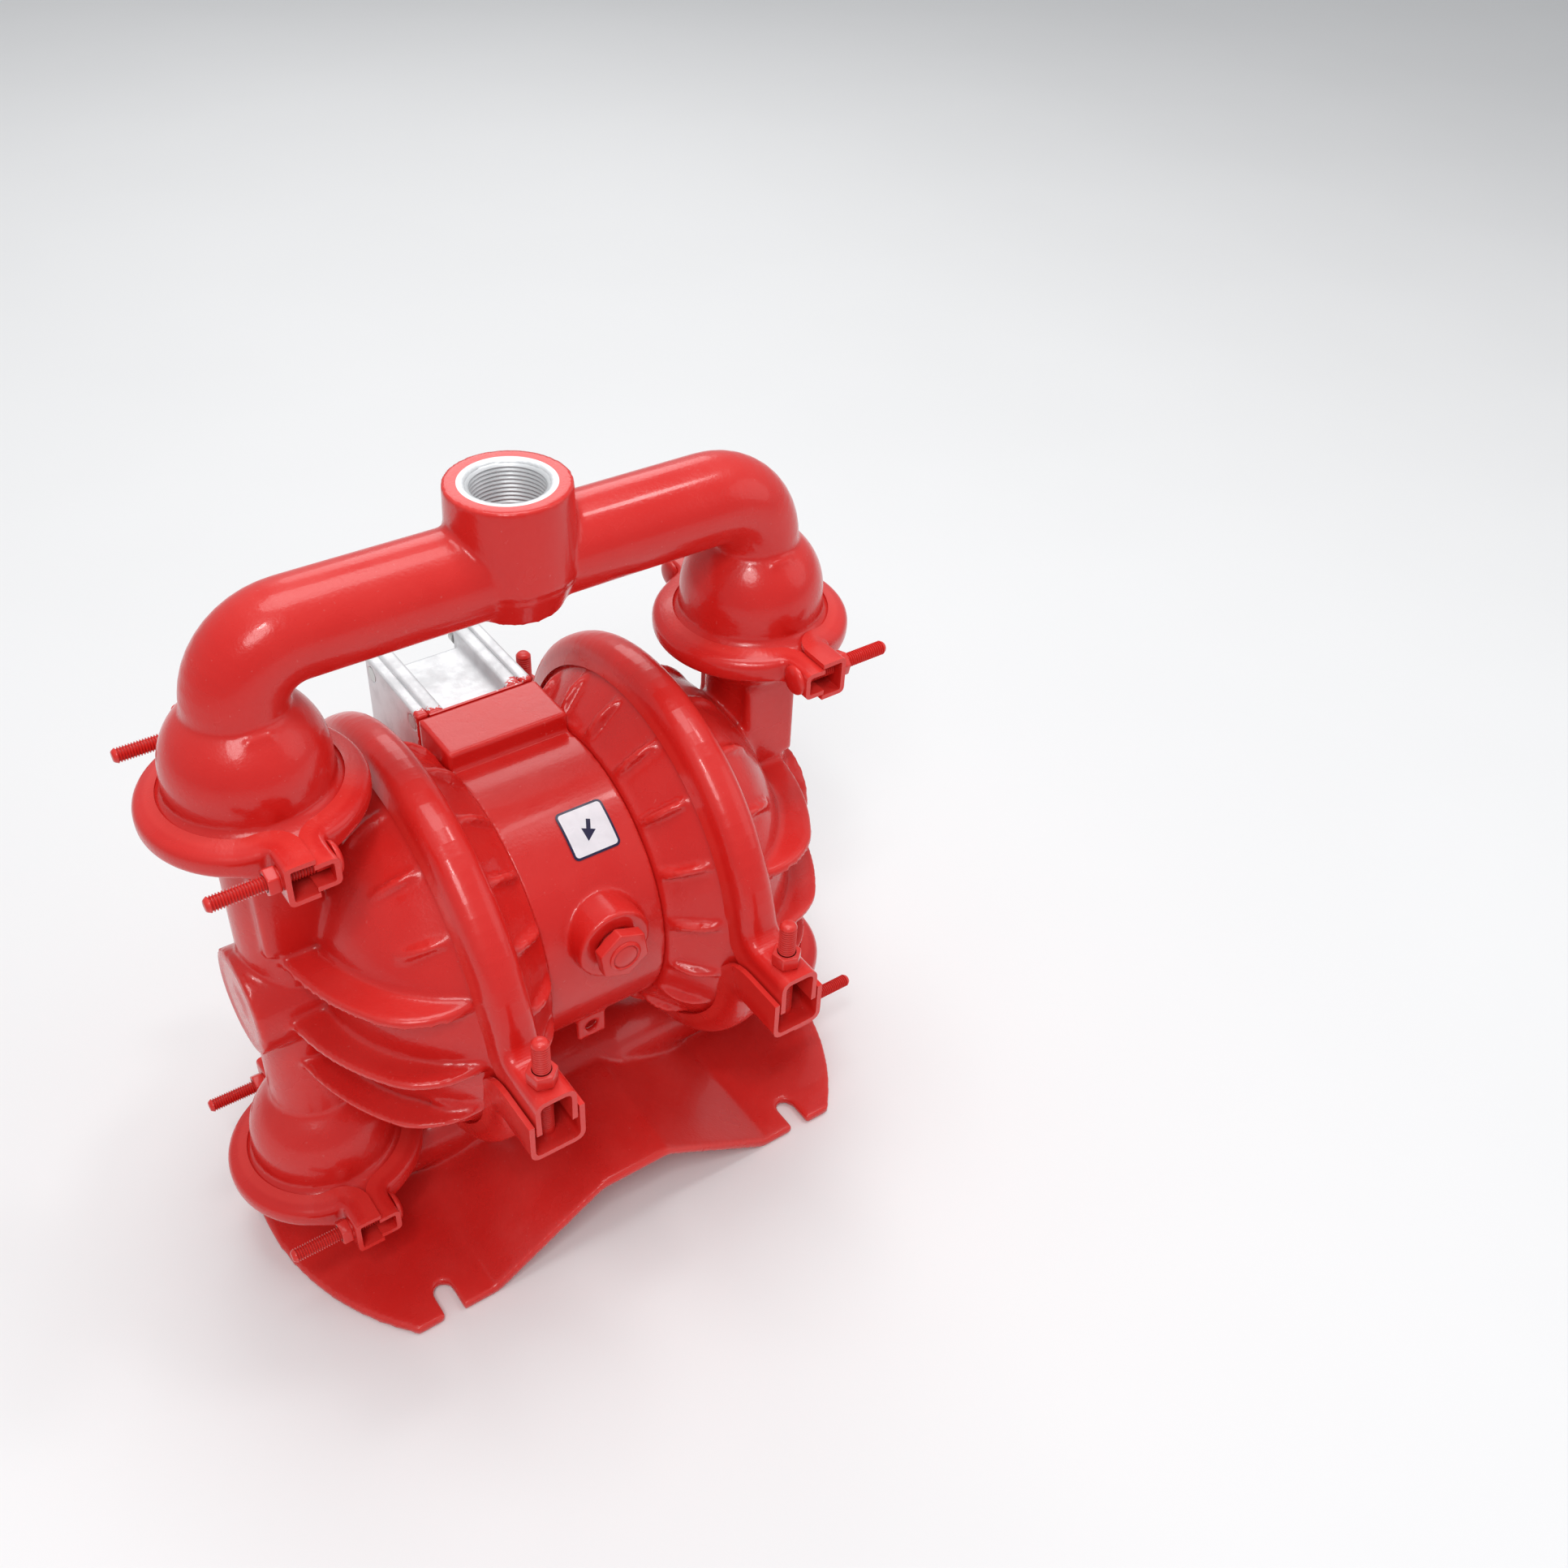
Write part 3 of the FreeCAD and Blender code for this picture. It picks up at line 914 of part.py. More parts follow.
def small_clamps():
    """Two halves round each manifold joint, split across the pump's length, with their bolts and nuts."""
    sizes = ("joint_radius", "joint_tube", "joint_lip", "joint_lip_half", "joint_rim", "joint_rim_half")
    wall, across = "sheet_wall", "(joint_rim + joint_tube)"
    bolts = []
    nuts = []
    for level in ("upper", "lower"):
        joint = level + "_joint"
        for name, way, half, lip in (("inner", -1, "inner_ear_half", "inner_channel_end"),
                                     ("outer", 1, "outer_ear_half", "-outer_channel_end")):
            edge = sorted([f"column_place + {way} * split_half", f"column_place - {way} * {across}"],
                          key=number)
            gap = block((edge[0], f"-{across}", f"{joint} - {across}"),
                        (edge[1], across, f"{joint} + {across}"))
            pieces = [cut(band_ring(*sizes, ("column_place", "0", joint)), [gap])]
            plate = sorted([f"column_place + {way} * (joint_ear - {wall} / 2)",
                            f"column_place + {way} * (joint_ear + {wall} / 2)"], key=number)
            sides = sorted([f"column_place + {way} * (joint_ear + {wall} / 2)",
                            f"column_place + {way} * ({lip})"], key=number)
            holes = []
            for front in (-1, 1):
                tip = f"{front} * (joint_bolt_place + small_ear_end)"
                spans = [sorted([f"{front} * ({inner})", tip], key=number)
                         for inner in ("joint_rim + small_ear_root", "joint_radius + joint_tube + past")]
                pieces.append(block((plate[0], spans[0][0], f"{joint} - {half}"),
                                    (plate[1], spans[0][1], f"{joint} + {half}")))
                for low, high in ((f"{joint} - {half}", f"{joint} - {half} + small_sheet"),
                                  (f"{joint} + {half} - small_sheet", f"{joint} + {half}")):
                    pieces.append(block((sides[0], spans[1][0], low), (sides[1], spans[1][1], high)))
                holes.append(cylinder("joint_bolt + fit_gap", "2 * (joint_ear + sheet_wall)",
                                      ("column_place - joint_ear - sheet_wall",
                                       f"{front} * joint_bolt_place", joint), ALONG_X))
            pair(cut(joined(pieces), holes), f"{level}_SIDE_clamp_{name}_half")
        outer_face = "joint_ear + sheet_wall / 2"
        for front in (-1, 1):
            y = f"{front} * joint_bolt_place"
            shank = cylinder("joint_bolt", f"joint_bolt_end + {outer_face}",
                             (f"column_place - ({outer_face})", y, joint), ALONG_X)
            head = solid("Cone", (f"column_place - ({outer_face}) - joint_bolt", y, joint), ALONG_X,
                         Radius1="joint_bolt + 1", Radius2="2.1 * joint_bolt", Height="joint_bolt")
            bolts.append(joined([shank, head]))
            nut_at = (f"column_place + {outer_face}", y, joint)
            nuts.append(cut(hexagon("joint_nut", "joint_nut_height", nut_at, ALONG_X),
                            [cylinder("joint_bolt", "joint_nut_height", nut_at, ALONG_X)]))
    for pieces, label in ((bolts, "small_clamp_bolts"), (nuts, "small_clamp_nuts")):
        row = group(pieces)
        node(group([row, mirrored(row, V(1, 0, 0))]), label)


discharge_manifold()
inlet_manifold()
air_chamber()
liquid_chamber()
centre_block()
air_valve()
air_inlet_plug()
muffler()
shaft_parts()
diaphragms()
valves()
large_clamp()
large_clamp_fasteners()
small_clamps()

doc.recompute()
for item in doc.Objects:
    if "Invalid" in item.State or "Error" in item.State:
        raise RuntimeError(f"{item.Label} failed: {item.State}")
os.makedirs("parts", exist_ok=True)
for piece in nodes:
    if piece.Shape.isNull() or not piece.Shape.isValid():
        raise RuntimeError(f"{piece.Label} has no valid shape")
    piece.Shape.exportStep(f"parts/{piece.Label}.step")
    print(piece.Label, round(piece.Shape.Volume / 1000, 1), "cm3", len(piece.Shape.Solids))
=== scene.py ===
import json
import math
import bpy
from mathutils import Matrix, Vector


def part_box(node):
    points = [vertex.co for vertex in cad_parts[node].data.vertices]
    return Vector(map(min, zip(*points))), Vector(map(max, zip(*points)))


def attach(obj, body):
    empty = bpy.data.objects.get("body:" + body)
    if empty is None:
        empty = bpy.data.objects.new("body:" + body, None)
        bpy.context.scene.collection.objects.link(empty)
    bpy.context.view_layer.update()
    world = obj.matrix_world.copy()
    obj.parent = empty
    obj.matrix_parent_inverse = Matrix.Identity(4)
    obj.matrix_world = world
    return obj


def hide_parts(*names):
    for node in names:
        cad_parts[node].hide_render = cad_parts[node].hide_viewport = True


bl_info = {
    "name": "Clamp-Band Diaphragm Pump",
    "version": (1, 0, 0),
    "blender": (4, 5, 0),
    "location": "View3D > Sidebar > Pump",
    "description": "Builds the looks of an air-operated double-diaphragm pump over its CAD frame",
    "category": "Object",
}

import bmesh
import bpy
import numpy as np
from bpy.props import FloatProperty, FloatVectorProperty, IntProperty, PointerProperty
from mathutils import Matrix, Vector

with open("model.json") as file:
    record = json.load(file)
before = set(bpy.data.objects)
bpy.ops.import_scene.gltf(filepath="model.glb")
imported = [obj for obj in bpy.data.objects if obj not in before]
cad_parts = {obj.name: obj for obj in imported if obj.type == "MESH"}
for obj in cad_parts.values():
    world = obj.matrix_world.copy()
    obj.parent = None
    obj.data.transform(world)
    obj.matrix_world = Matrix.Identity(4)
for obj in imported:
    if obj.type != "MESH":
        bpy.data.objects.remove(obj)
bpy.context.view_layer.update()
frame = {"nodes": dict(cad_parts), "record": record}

X, Y, Z = Vector((1, 0, 0)), Vector((0, 1, 0)), Vector((0, 0, 1))
ORIGIN = Vector((0, 0, 0))
MM = 0.001


def middle(node):
    """Middle of a CAD node's box."""
    low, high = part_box(node)
    return (Vector(low) + Vector(high)) / 2


SHAFT = middle("diaphragm_shaft")
COLUMN = middle("upper_right_ball").x
BAND_PLACE = middle("right_diaphragm").x
UPPER_JOINT = middle("upper_right_clamp_outer_half").z
LOWER_JOINT = middle("lower_right_clamp_outer_half").z
LARGE_STUD, SMALL_STUD = 4.75 * MM, 4 * MM
BOLT_HEAD = 2.1
LARGE_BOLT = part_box("large_clamp_bolts")[1][1] - BOLT_HEAD * LARGE_STUD
SMALL_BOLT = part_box("small_clamp_bolts")[1][1] - BOLT_HEAD * SMALL_STUD
DRUM = SHAFT.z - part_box("centre_block")[0][2]
CAP_FACE = COLUMN + 28.7 * MM
BARE_RING = 24.1 * MM
LARGE_RING, SMALL_RING = 125.3 * MM, 55 * MM
LARGE_REACH, SMALL_REACH = 156.9 * MM, 71.8 * MM
UPPER_EAR, LOWER_EAR, SMALL_EAR = 16.5 * MM, 24 * MM, 13 * MM
LARGE_FLATS, SMALL_FLATS, PLUG_FLATS, MUFFLER_FLATS = 14.3 * MM, 12.7 * MM, 27 * MM, 25.6 * MM
MUFFLER_RINGS = 9
LABEL_X, LABEL_TILT = 10 * MM, 55.5
CAMERA_PLACE = (-0.3007, -0.6102, 0.8282)
CAMERA_TURN, CAMERA_LIFT, CAMERA_ROLL = -38.03, 39.65, -3.77
CAMERA_LENS = 36.816


def port(name):
    """Middle of a port's face, the way it looks, and its radius, from the frame's mounts."""
    mount = next(item for item in frame["record"]["mounts"] if item["name"] == name)
    axis = Vector(mount["axis"])
    dims = mount["dims"]
    return Vector(mount["pos_m"]) + axis * (dims["length_mm"] / 2 * MM), axis, dims["r_mm"] * MM


# -------------------------------------------------------------------- settings

def length(name, default, description):
    return FloatProperty(name=name, default=default, description=description, unit="LENGTH", min=0.0,
                         precision=5)


def colour(name, default, description):
    return FloatVectorProperty(name=name, default=default, description=description, subtype="COLOR",
                               size=3, min=0.0, max=1.0)


class PumpSizes(bpy.types.PropertyGroup):
    """Sizes of the surface detail, in metres"""
    casting_voxel: length("Casting voxel", 1.6 * MM, "Size of the grid that rounds the castings' edges")
    valve_voxel: length("Valve voxel", 1.3 * MM, "Size of the grid that rounds the air valve's edges")
    casting_smoothing: IntProperty(name="Casting smoothing", default=3, min=0, max=30,
                                   description="Rounds of smoothing on the castings")
    sheet: length("Band sheet", 3.0 * MM, "Thickness of the pressed clamp bands")
    large_pitch: length("Large thread pitch", 1.6 * MM, "Thread pitch of the large clamp bolts")
    small_pitch: length("Small thread pitch", 1.4 * MM, "Thread pitch of the small clamp bolts")
    port_pitch: length("Port thread pitch", 2.2 * MM, "Thread pitch of the discharge and suction ports")
    label_side: length("Label side", 28 * MM, "Side of the square label over the air inlet")


class PumpColours(bpy.types.PropertyGroup):
    """Colours of the pump's finishes"""
    enamel: colour("Enamel", (0.64, 0.013, 0.010), "Sprayed red enamel")
    # Painted highlight: a lighter enamel that the shader lays on convex edges, where light catches them.
    enamel_highlight: colour("Highlight enamel", (0.78, 0.046, 0.036), "Enamel lightened on edges as painted highlight")
    # Painted shade: a darker enamel that the shader lays in corners and hollows, where shade falls.
    enamel_shade: colour("Shade enamel", (0.25, 0.003, 0.003), "Enamel darkened in corners as painted shade")
    aluminium: colour("Aluminium", (0.78, 0.79, 0.80), "Unpainted light aluminium")
    steel: colour("Steel", (0.46, 0.46, 0.45), "Bare or zinc-plated steel")
    rubber: colour("Rubber", (0.022, 0.022, 0.024), "Moulded black rubber")
    bronze: colour("Bronze", (0.46, 0.28, 0.11), "Sintered bronze")
    muffler: colour("Muffler", (0.06, 0.062, 0.065), "Porous dark plastic")
    label_white: colour("Label white", (0.86, 0.86, 0.90), "Field of the label")
    label_navy: colour("Label navy", (0.016, 0.012, 0.055), "Border and arrow of the label")
    floor: colour("Floor", (0.86, 0.86, 0.86), "Pale floor")


def sizes():
    return bpy.context.scene.pump_sizes


def colours():
    return bpy.context.scene.pump_colours


# ------------------------------------------------------------------- materials

def socket(group, name, kind, way, default=None):
    made = group.interface.new_socket(name=name, in_out=way, socket_type="NodeSocket" + kind)
    if default is not None:
        made.default_value = default


class Wiring:
    """Adds nodes to one tree and joins them."""

    def __init__(self, tree):
        self.tree = tree
        self.count = 0

    def add(self, kind, **settings):
        node = self.tree.nodes.new("ShaderNode" + kind)
        node.location = (180 * self.count - 900, -60 * (self.count % 5))
        self.count += 1
        for name, value in settings.items():
            setattr(node, name, value)
        return node

    def put(self, source, target):
        """Join a socket, or set a plain value."""
        if isinstance(source, bpy.types.NodeSocket):
            self.tree.links.new(source, target)
        elif isinstance(source, (tuple, list)) and len(source) == 3 and len(target.default_value) == 4:
            target.default_value = (*source, 1.0)
        else:
            target.default_value = source

    def noise(self, vector, scale, detail, roughness):
        node = self.add("TexNoise")
        self.put(vector, node.inputs["Vector"])
        node.inputs["Scale"].default_value = scale
        node.inputs["Detail"].default_value = detail
        node.inputs["Roughness"].default_value = roughness
        return node.outputs["Fac"]

    def ramp(self, value, low, high, start=0.0, stop=1.0):
        node = self.add("MapRange", interpolation_type="SMOOTHSTEP")
        for source, name in ((value, "Value"), (low, "From Min"), (high, "From Max"),
                             (start, "To Min"), (stop, "To Max")):
            self.put(source, node.inputs[name])
        return node.outputs["Result"]

    def maths(self, operation, first, second):
        node = self.add("Math", operation=operation)
        for source, target in zip((first, second), node.inputs):
            self.put(source, target)
        return node.outputs[0]

    def mix(self, factor, first, second):
        node = self.add("Mix", data_type="RGBA", blend_type="MIX")
        self.put(factor, node.inputs["Factor"])
        self.put(first, node.inputs[6])
        self.put(second, node.inputs[7])
        return node.outputs[2]


def new_group(name, inputs, outputs):
    group = bpy.data.node_groups.new(name, "ShaderNodeTree")
    for label, kind, default in inputs:
        socket(group, label, kind, "INPUT", default)
    for label, kind in outputs:
        socket(group, label, kind, "OUTPUT")
    wiring = Wiring(group)
    start, end = group.nodes.new("NodeGroupInput"), group.nodes.new("NodeGroupOutput")
    return group, wiring, start.outputs, end.inputs


def sprayed_enamel_group():
    """Sprayed paint: uneven depth, orange peel, painted highlight on edges, painted shade in corners and
    settled dust.
    """
    group, w, given, out = new_group(
        "Sprayed enamel",
        [("Vector", "Vector", None), ("Edge", "Float", 0.0), ("Paint", "Color", (0.5, 0, 0, 1)),
         ("Thin paint", "Color", (0.8, 0.1, 0.1, 1)), ("Deep paint", "Color", (0.2, 0, 0, 1)),
         ("Dust", "Float", 0.15), ("Gloss", "Float", 0.3)],
        [("Color", "Color"), ("Roughness", "Float"), ("Height", "Float")])
    vector = given["Vector"]
    patches = w.noise(vector, 22.0, 4.0, 0.55)
    peel = w.noise(vector, 620.0, 2.0, 0.5)
    sand = w.noise(vector, 150.0, 5.0, 0.6)
    # Random patches of lighter paint take a little of the painted highlight colour.
    lighter = w.mix(0.16, given["Paint"], given["Thin paint"])
    tone = w.mix(w.ramp(patches, 0.32, 0.72), given["Paint"], lighter)
    jitter = w.maths("MULTIPLY", w.maths("SUBTRACT", sand, 0.5), 0.10)
    # Painted highlight: convex edges are mixed towards the lighter highlight enamel.
    convex = w.ramp(w.maths("ADD", given["Edge"], jitter), 0.10, 0.42)
    # Painted shade: hollows and corners are mixed towards the darker shade enamel.
    hollow = w.ramp(w.maths("MULTIPLY", given["Edge"], -1.0), 0.16, 0.55)
    tone = w.mix(w.maths("MULTIPLY", convex, 0.42), tone, given["Thin paint"])
    tone = w.mix(w.maths("MULTIPLY", hollow, 0.55), tone, given["Deep paint"])
    normal = w.add("NewGeometry").outputs["Normal"]
    split = w.add("SeparateXYZ")
    w.put(normal, split.inputs[0])
    upward = w.ramp(split.outputs["Z"], 0.25, 1.0)
    dust = w.maths("MULTIPLY", upward, given["Dust"])
    settled = w.maths("MULTIPLY", dust, w.ramp(patches, 0.25, 0.75, 0.5, 1.0))
    tone = w.mix(settled, tone, (0.80, 0.33, 0.30))
    specks = w.ramp(w.noise(vector, 520.0, 1.0, 0.4), 0.745, 0.79)
    flecked = w.maths("MULTIPLY", specks, w.maths("MULTIPLY", given["Dust"], 1.6))
    tone = w.mix(flecked, tone, (0.82, 0.5, 0.46))
    w.put(tone, out["Color"])
    rough = w.maths("ADD", given["Gloss"], w.ramp(patches, 0.3, 0.7, -0.04, 0.06))
    rough = w.maths("ADD", rough, w.maths("MULTIPLY", settled, 0.9))
    w.put(w.maths("ADD", rough, w.maths("MULTIPLY", hollow, 0.12)), out["Roughness"])
    height = w.maths("ADD", w.maths("MULTIPLY", peel, 0.35), w.maths("MULTIPLY", sand, 0.65))
    w.put(height, out["Height"])
    return group


def metal_grain_group():
    """Bare metal: cloudy oxide, fine grain and small scratches along one direction."""
    group, w, given, out = new_group(
        "Metal grain",
        [("Vector", "Vector", None), ("Metal", "Color", (0.5, 0.5, 0.5, 1)),
         ("Stain", "Color", (0.3, 0.3, 0.3, 1)), ("Staining", "Float", 0.3),
         ("Roughness", "Float", 0.35), ("Scale", "Float", 60.0)],
        [("Color", "Color"), ("Roughness", "Float"), ("Height", "Float")])
    cloud = w.add("TexNoise")
    w.put(given["Vector"], cloud.inputs["Vector"])
    w.put(given["Scale"], cloud.inputs["Scale"])
    cloud.inputs["Detail"].default_value = 5.0
    stretch = w.add("Mapping")
    w.put(given["Vector"], stretch.inputs["Vector"])
    stretch.inputs["Scale"].default_value = (1.0, 1.0, 14.0)
    grain = w.noise(stretch.outputs[0], 240.0, 3.0, 0.6)
    mask = w.maths("MULTIPLY", w.ramp(cloud.outputs["Fac"], 0.42, 0.70), given["Staining"])
    w.put(w.mix(mask, given["Metal"], given["Stain"]), out["Color"])
    rough = w.maths("ADD", given["Roughness"], w.ramp(grain, 0.3, 0.7, -0.07, 0.09))
    w.put(w.maths("ADD", rough, w.maths("MULTIPLY", mask, 0.25)), out["Roughness"])
    w.put(w.maths("ADD", w.maths("MULTIPLY", grain, 0.6), w.maths("MULTIPLY", cloud.outputs["Fac"], 0.4)),
          out["Height"])
    return group


def chipping_group():
    """Mask of the places where paint has chipped off a sharp edge."""
    group, w, given, out = new_group(
        "Chipped edge", [("Vector", "Vector", None), ("Edge", "Float", 0.0), ("Amount", "Float", 0.5)],
        [("Mask", "Float")])
    blot = w.noise(given["Vector"], 46.0, 5.0, 0.65)
    reach = w.maths("MULTIPLY", given["Edge"], given["Amount"])
    w.put(w.ramp(w.maths("ADD", blot, reach), 0.97, 1.02), out["Mask"])
    return group


def shared(name):
    """The shared shader group of that name, made when first needed."""
    makers = {"Sprayed enamel": sprayed_enamel_group, "Metal grain": metal_grain_group,
              "Chipped edge": chipping_group}
    return bpy.data.node_groups.get(name) or makers[name]()


def material(name):
    """A node material with a Principled shader; returns it, its wiring, the shader and Object coordinates."""
    made = bpy.data.materials.new(name)
    made.use_nodes = True
    w = Wiring(made.node_tree)
    shader = made.node_tree.nodes["Principled BSDF"]
    return made, w, shader, w.add("TexCoord").outputs["Object"]


def group_node(w, name, **values):
    node = w.add("Group")
    node.node_tree = shared(name)
    for label, value in values.items():
        w.put(value, node.inputs[label.replace("_", " ").capitalize()])
    return node.outputs


def bump(w, height, shader, depth):
    node = w.add("Bump")
    node.inputs["Strength"].default_value = 1.0
    node.inputs["Distance"].default_value = depth
    w.put(height, node.inputs["Height"])
    w.put(node.outputs[0], shader.inputs["Normal"])


def edge_value(w):
    return w.add("Attribute", attribute_name="edge").outputs["Fac"]


def machined_faces(w, place):
    """Mask of the bare ring that was covered round each threaded port when the pump was sprayed."""
    masks = []
    for name in ("discharge_port", "suction_port"):
        face, axis, _ = port(name)
        away = w.add("VectorMath", operation="SUBTRACT")
        w.put(place, away.inputs[0])
        away.inputs[1].default_value = face
        along = w.add("VectorMath", operation="DOT_PRODUCT")
        w.put(away.outputs[0], along.inputs[0])
        along.inputs[1].default_value = axis
        across = w.add("VectorMath", operation="CROSS_PRODUCT")
        w.put(away.outputs[0], across.inputs[0])
        across.inputs[1].default_value = axis
        reach = w.add("VectorMath", operation="LENGTH")
        w.put(across.outputs[0], reach.inputs[0])
        near = w.ramp(reach.outputs["Value"], BARE_RING - 0.1 * MM, BARE_RING + 0.1 * MM, 1.0, 0.0)
        masks.append(w.maths("MULTIPLY", near, w.ramp(along.outputs["Value"], -36 * MM, -35 * MM)))
    return w.maths("MAXIMUM", *masks)


def overspray_edge(w, place, limit):
    """Mask of the bare metal behind the ragged edge that the red spray leaves at that Y."""
    split = w.add("SeparateXYZ")
    w.put(place, split.inputs[0])
    coarse = w.maths("MULTIPLY", w.maths("SUBTRACT", w.noise(place, 60.0, 6.0, 0.75), 0.5), 0.034)
    return w.ramp(w.maths("ADD", split.outputs["Y"], coarse), limit, limit + 0.0004)


def enamel(name, dust=0.05, gloss=0.25, peel=0.30, chips=0.0, overspray=None, ported=False):
    """Red enamel; chips bares steel edges, overspray ends the paint at that Y, ported bares port faces."""
    made, w, shader, place = material(name)
    c = colours()
    edge = edge_value(w)
    # The highlight and shade paints are painted light, laid on convex edges and in hollows.
    skin = group_node(w, "Sprayed enamel", vector=place, edge=edge, paint=tuple(c.enamel),
                      thin_paint=tuple(c.enamel_highlight), deep_paint=tuple(c.enamel_shade), dust=dust,
                      gloss=gloss)
    tone, rough = skin["Color"], skin["Roughness"]
    if chips or ported or overspray is not None:
        metal = tuple(c.steel) if chips else tuple(c.aluminium)
        bare = group_node(w, "Metal grain", vector=place, metal=metal, stain=tuple(0.6 * v for v in metal),
                          staining=0.35, roughness=0.4, scale=70.0)
        if chips:
            mask = group_node(w, "Chipped edge", vector=place, edge=edge, amount=chips)["Mask"]
        elif ported:
            mask = machined_faces(w, place)
        else:
            mask = overspray_edge(w, place, overspray)
        tone = w.mix(mask, tone, bare["Color"])
        rough = w.maths("ADD", w.maths("MULTIPLY", rough, w.maths("SUBTRACT", 1.0, mask)),
                        w.maths("MULTIPLY", bare["Roughness"], mask))
        w.put(w.maths("MULTIPLY", mask, 0.9 if chips else 0.35), shader.inputs["Metallic"])
    w.put(tone, shader.inputs["Base Color"])
    w.put(rough, shader.inputs["Roughness"])
    shader.inputs["Coat Weight"].default_value = 0.3
    shader.inputs["Coat Roughness"].default_value = 0.09
    shader.inputs["Specular IOR Level"].default_value = 0.32
    bump(w, skin["Height"], shader, peel * MM)
    return made


def bare_metal(name, metal, stain, staining, roughness, scale=60.0, depth=0.05, metallic=1.0):
    made, w, shader, place = material(name)
    skin = group_node(w, "Metal grain", vector=place, metal=tuple(metal), stain=tuple(stain),
                      staining=staining, roughness=roughness, scale=scale)
    w.put(skin["Color"], shader.inputs["Base Color"])
    w.put(skin["Roughness"], shader.inputs["Roughness"])
    shader.inputs["Metallic"].default_value = metallic
    bump(w, skin["Height"], shader, depth * MM)
    return made


def moulded(name, base, roughness, grain, depth):
    """Rubber or plastic with a fine moulded grain and a little pale bloom."""
    made, w, shader, place = material(name)
    fine = w.noise(place, grain, 3.0, 0.55)
    cloud = w.noise(place, 30.0, 4.0, 0.5)
    pale = tuple(min(1.0, 1.9 * v + 0.012) for v in base)
    w.put(w.mix(w.ramp(cloud, 0.35, 0.75), tuple(base), pale), shader.inputs["Base Color"])
    w.put(w.ramp(fine, 0.2, 0.8, roughness - 0.06, roughness + 0.1), shader.inputs["Roughness"])
    bump(w, fine, shader, depth * MM)
    return made


def printed(name, base, roughness=0.28):
    """Printed vinyl, a little uneven."""
    made, w, shader, place = material(name)
    cloud = w.noise(place, 120.0, 3.0, 0.5)
    worn = tuple(0.9 * v for v in base)
    w.put(w.mix(w.ramp(cloud, 0.3, 0.8), tuple(base), worn), shader.inputs["Base Color"])
    w.put(w.ramp(cloud, 0.2, 0.8, roughness - 0.04, roughness + 0.08), shader.inputs["Roughness"])
    bump(w, cloud, shader, 0.02 * MM)
    return made


def finish(name):
    """The pump's finish of that name, made when first needed."""
    c = colours()
    makers = {
        "red_enamel": lambda: enamel("red_enamel"),
        "red_enamel_ported": lambda: enamel("red_enamel_ported", ported=True),
        "red_enamel_band": lambda: enamel("red_enamel_band", dust=0.04, gloss=0.26, peel=0.22, chips=0.26),
        "red_enamel_fastener": lambda: enamel("red_enamel_fastener", dust=0.06, gloss=0.34, peel=0.08),
        "red_overspray": lambda: enamel("red_overspray", overspray=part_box("air_valve_gasket")[1][1] + 0.004),
        "light_aluminium": lambda: bare_metal("light_aluminium", c.aluminium,
                                              [0.72 * v for v in c.aluminium],
                                              0.25, 0.42, 24.0, 0.06, 0.35),
        "machined_aluminium": lambda: bare_metal("machined_aluminium", c.aluminium,
                                                 [0.6 * v for v in c.aluminium], 0.3, 0.30, 40.0, 0.03, 1.0),
        "zinc_steel": lambda: bare_metal("zinc_steel", [1.25 * v for v in c.steel],
                                         [0.5 * v for v in c.steel], 0.45, 0.33, 120.0, 0.02),
        "ground_steel": lambda: bare_metal("ground_steel", [1.4 * v for v in c.steel], c.steel, 0.2, 0.16,
                                           90.0, 0.01),
        "sintered_bronze": lambda: bare_metal("sintered_bronze", c.bronze,
                                              [0.55 * v for v in c.bronze], 0.5, 0.48, 200.0, 0.05),
        "black_rubber": lambda: moulded("black_rubber", c.rubber, 0.55, 700.0, 0.03),
        "porous_plastic": lambda: moulded("porous_plastic", c.muffler, 0.72, 380.0, 0.35),
        "label_white": lambda: printed("label_white", c.label_white),
        "label_navy": lambda: printed("label_navy", c.label_navy),
    }
    return bpy.data.materials.get(name) or makers[name]()


# -------------------------------------------------------------------- geometry

def mark_edges(mesh, spread):
    """Stores how convex the surface is at each vertex: above 0 on edges, below 0 in corners."""
    count = len(mesh.vertices)
    places = np.empty(count * 3)
    mesh.vertices.foreach_get("co", places)
    places = places.reshape(-1, 3)
    normals = np.empty(count * 3)
    mesh.vertex_normals.foreach_get("vector", normals)
    normals = normals.reshape(-1, 3)
    ends = np.empty(len(mesh.edges) * 2, dtype=np.int64)
    mesh.edges.foreach_get("vertices", ends)
    ends = ends.reshape(-1, 2)
    span = places[ends[:, 1]] - places[ends[:, 0]]
    reach = np.maximum(np.linalg.norm(span, axis=1), 1e-9)
    first = -np.einsum("ij,ij->i", normals[ends[:, 0]], span) / reach
    second = np.einsum("ij,ij->i", normals[ends[:, 1]], span) / reach
    ways = np.maximum(np.bincount(ends.ravel(), minlength=count), 1)
    bend = (np.bincount(ends[:, 0], first, count) + np.bincount(ends[:, 1], second, count)) / ways
    for _ in range(spread):
        around = np.bincount(ends[:, 0], bend[ends[:, 1]], count)
        around += np.bincount(ends[:, 1], bend[ends[:, 0]], count)
        bend = 0.5 * bend + 0.5 * around / ways
    layer = mesh.attributes.new("edge", "FLOAT", "POINT")
    layer.data.foreach_set("value", (bend * 2.2).astype(np.float32))


def piece(name, bm, finishes, body="root", replaces=(), sharp=38):
    """Turns a bmesh into a finished object that rides on a body."""
    mesh = bpy.data.meshes.new(name)
    bm.to_mesh(mesh)
    bm.free()
    return dress(name, mesh, finishes, body, replaces, sharp, 0)


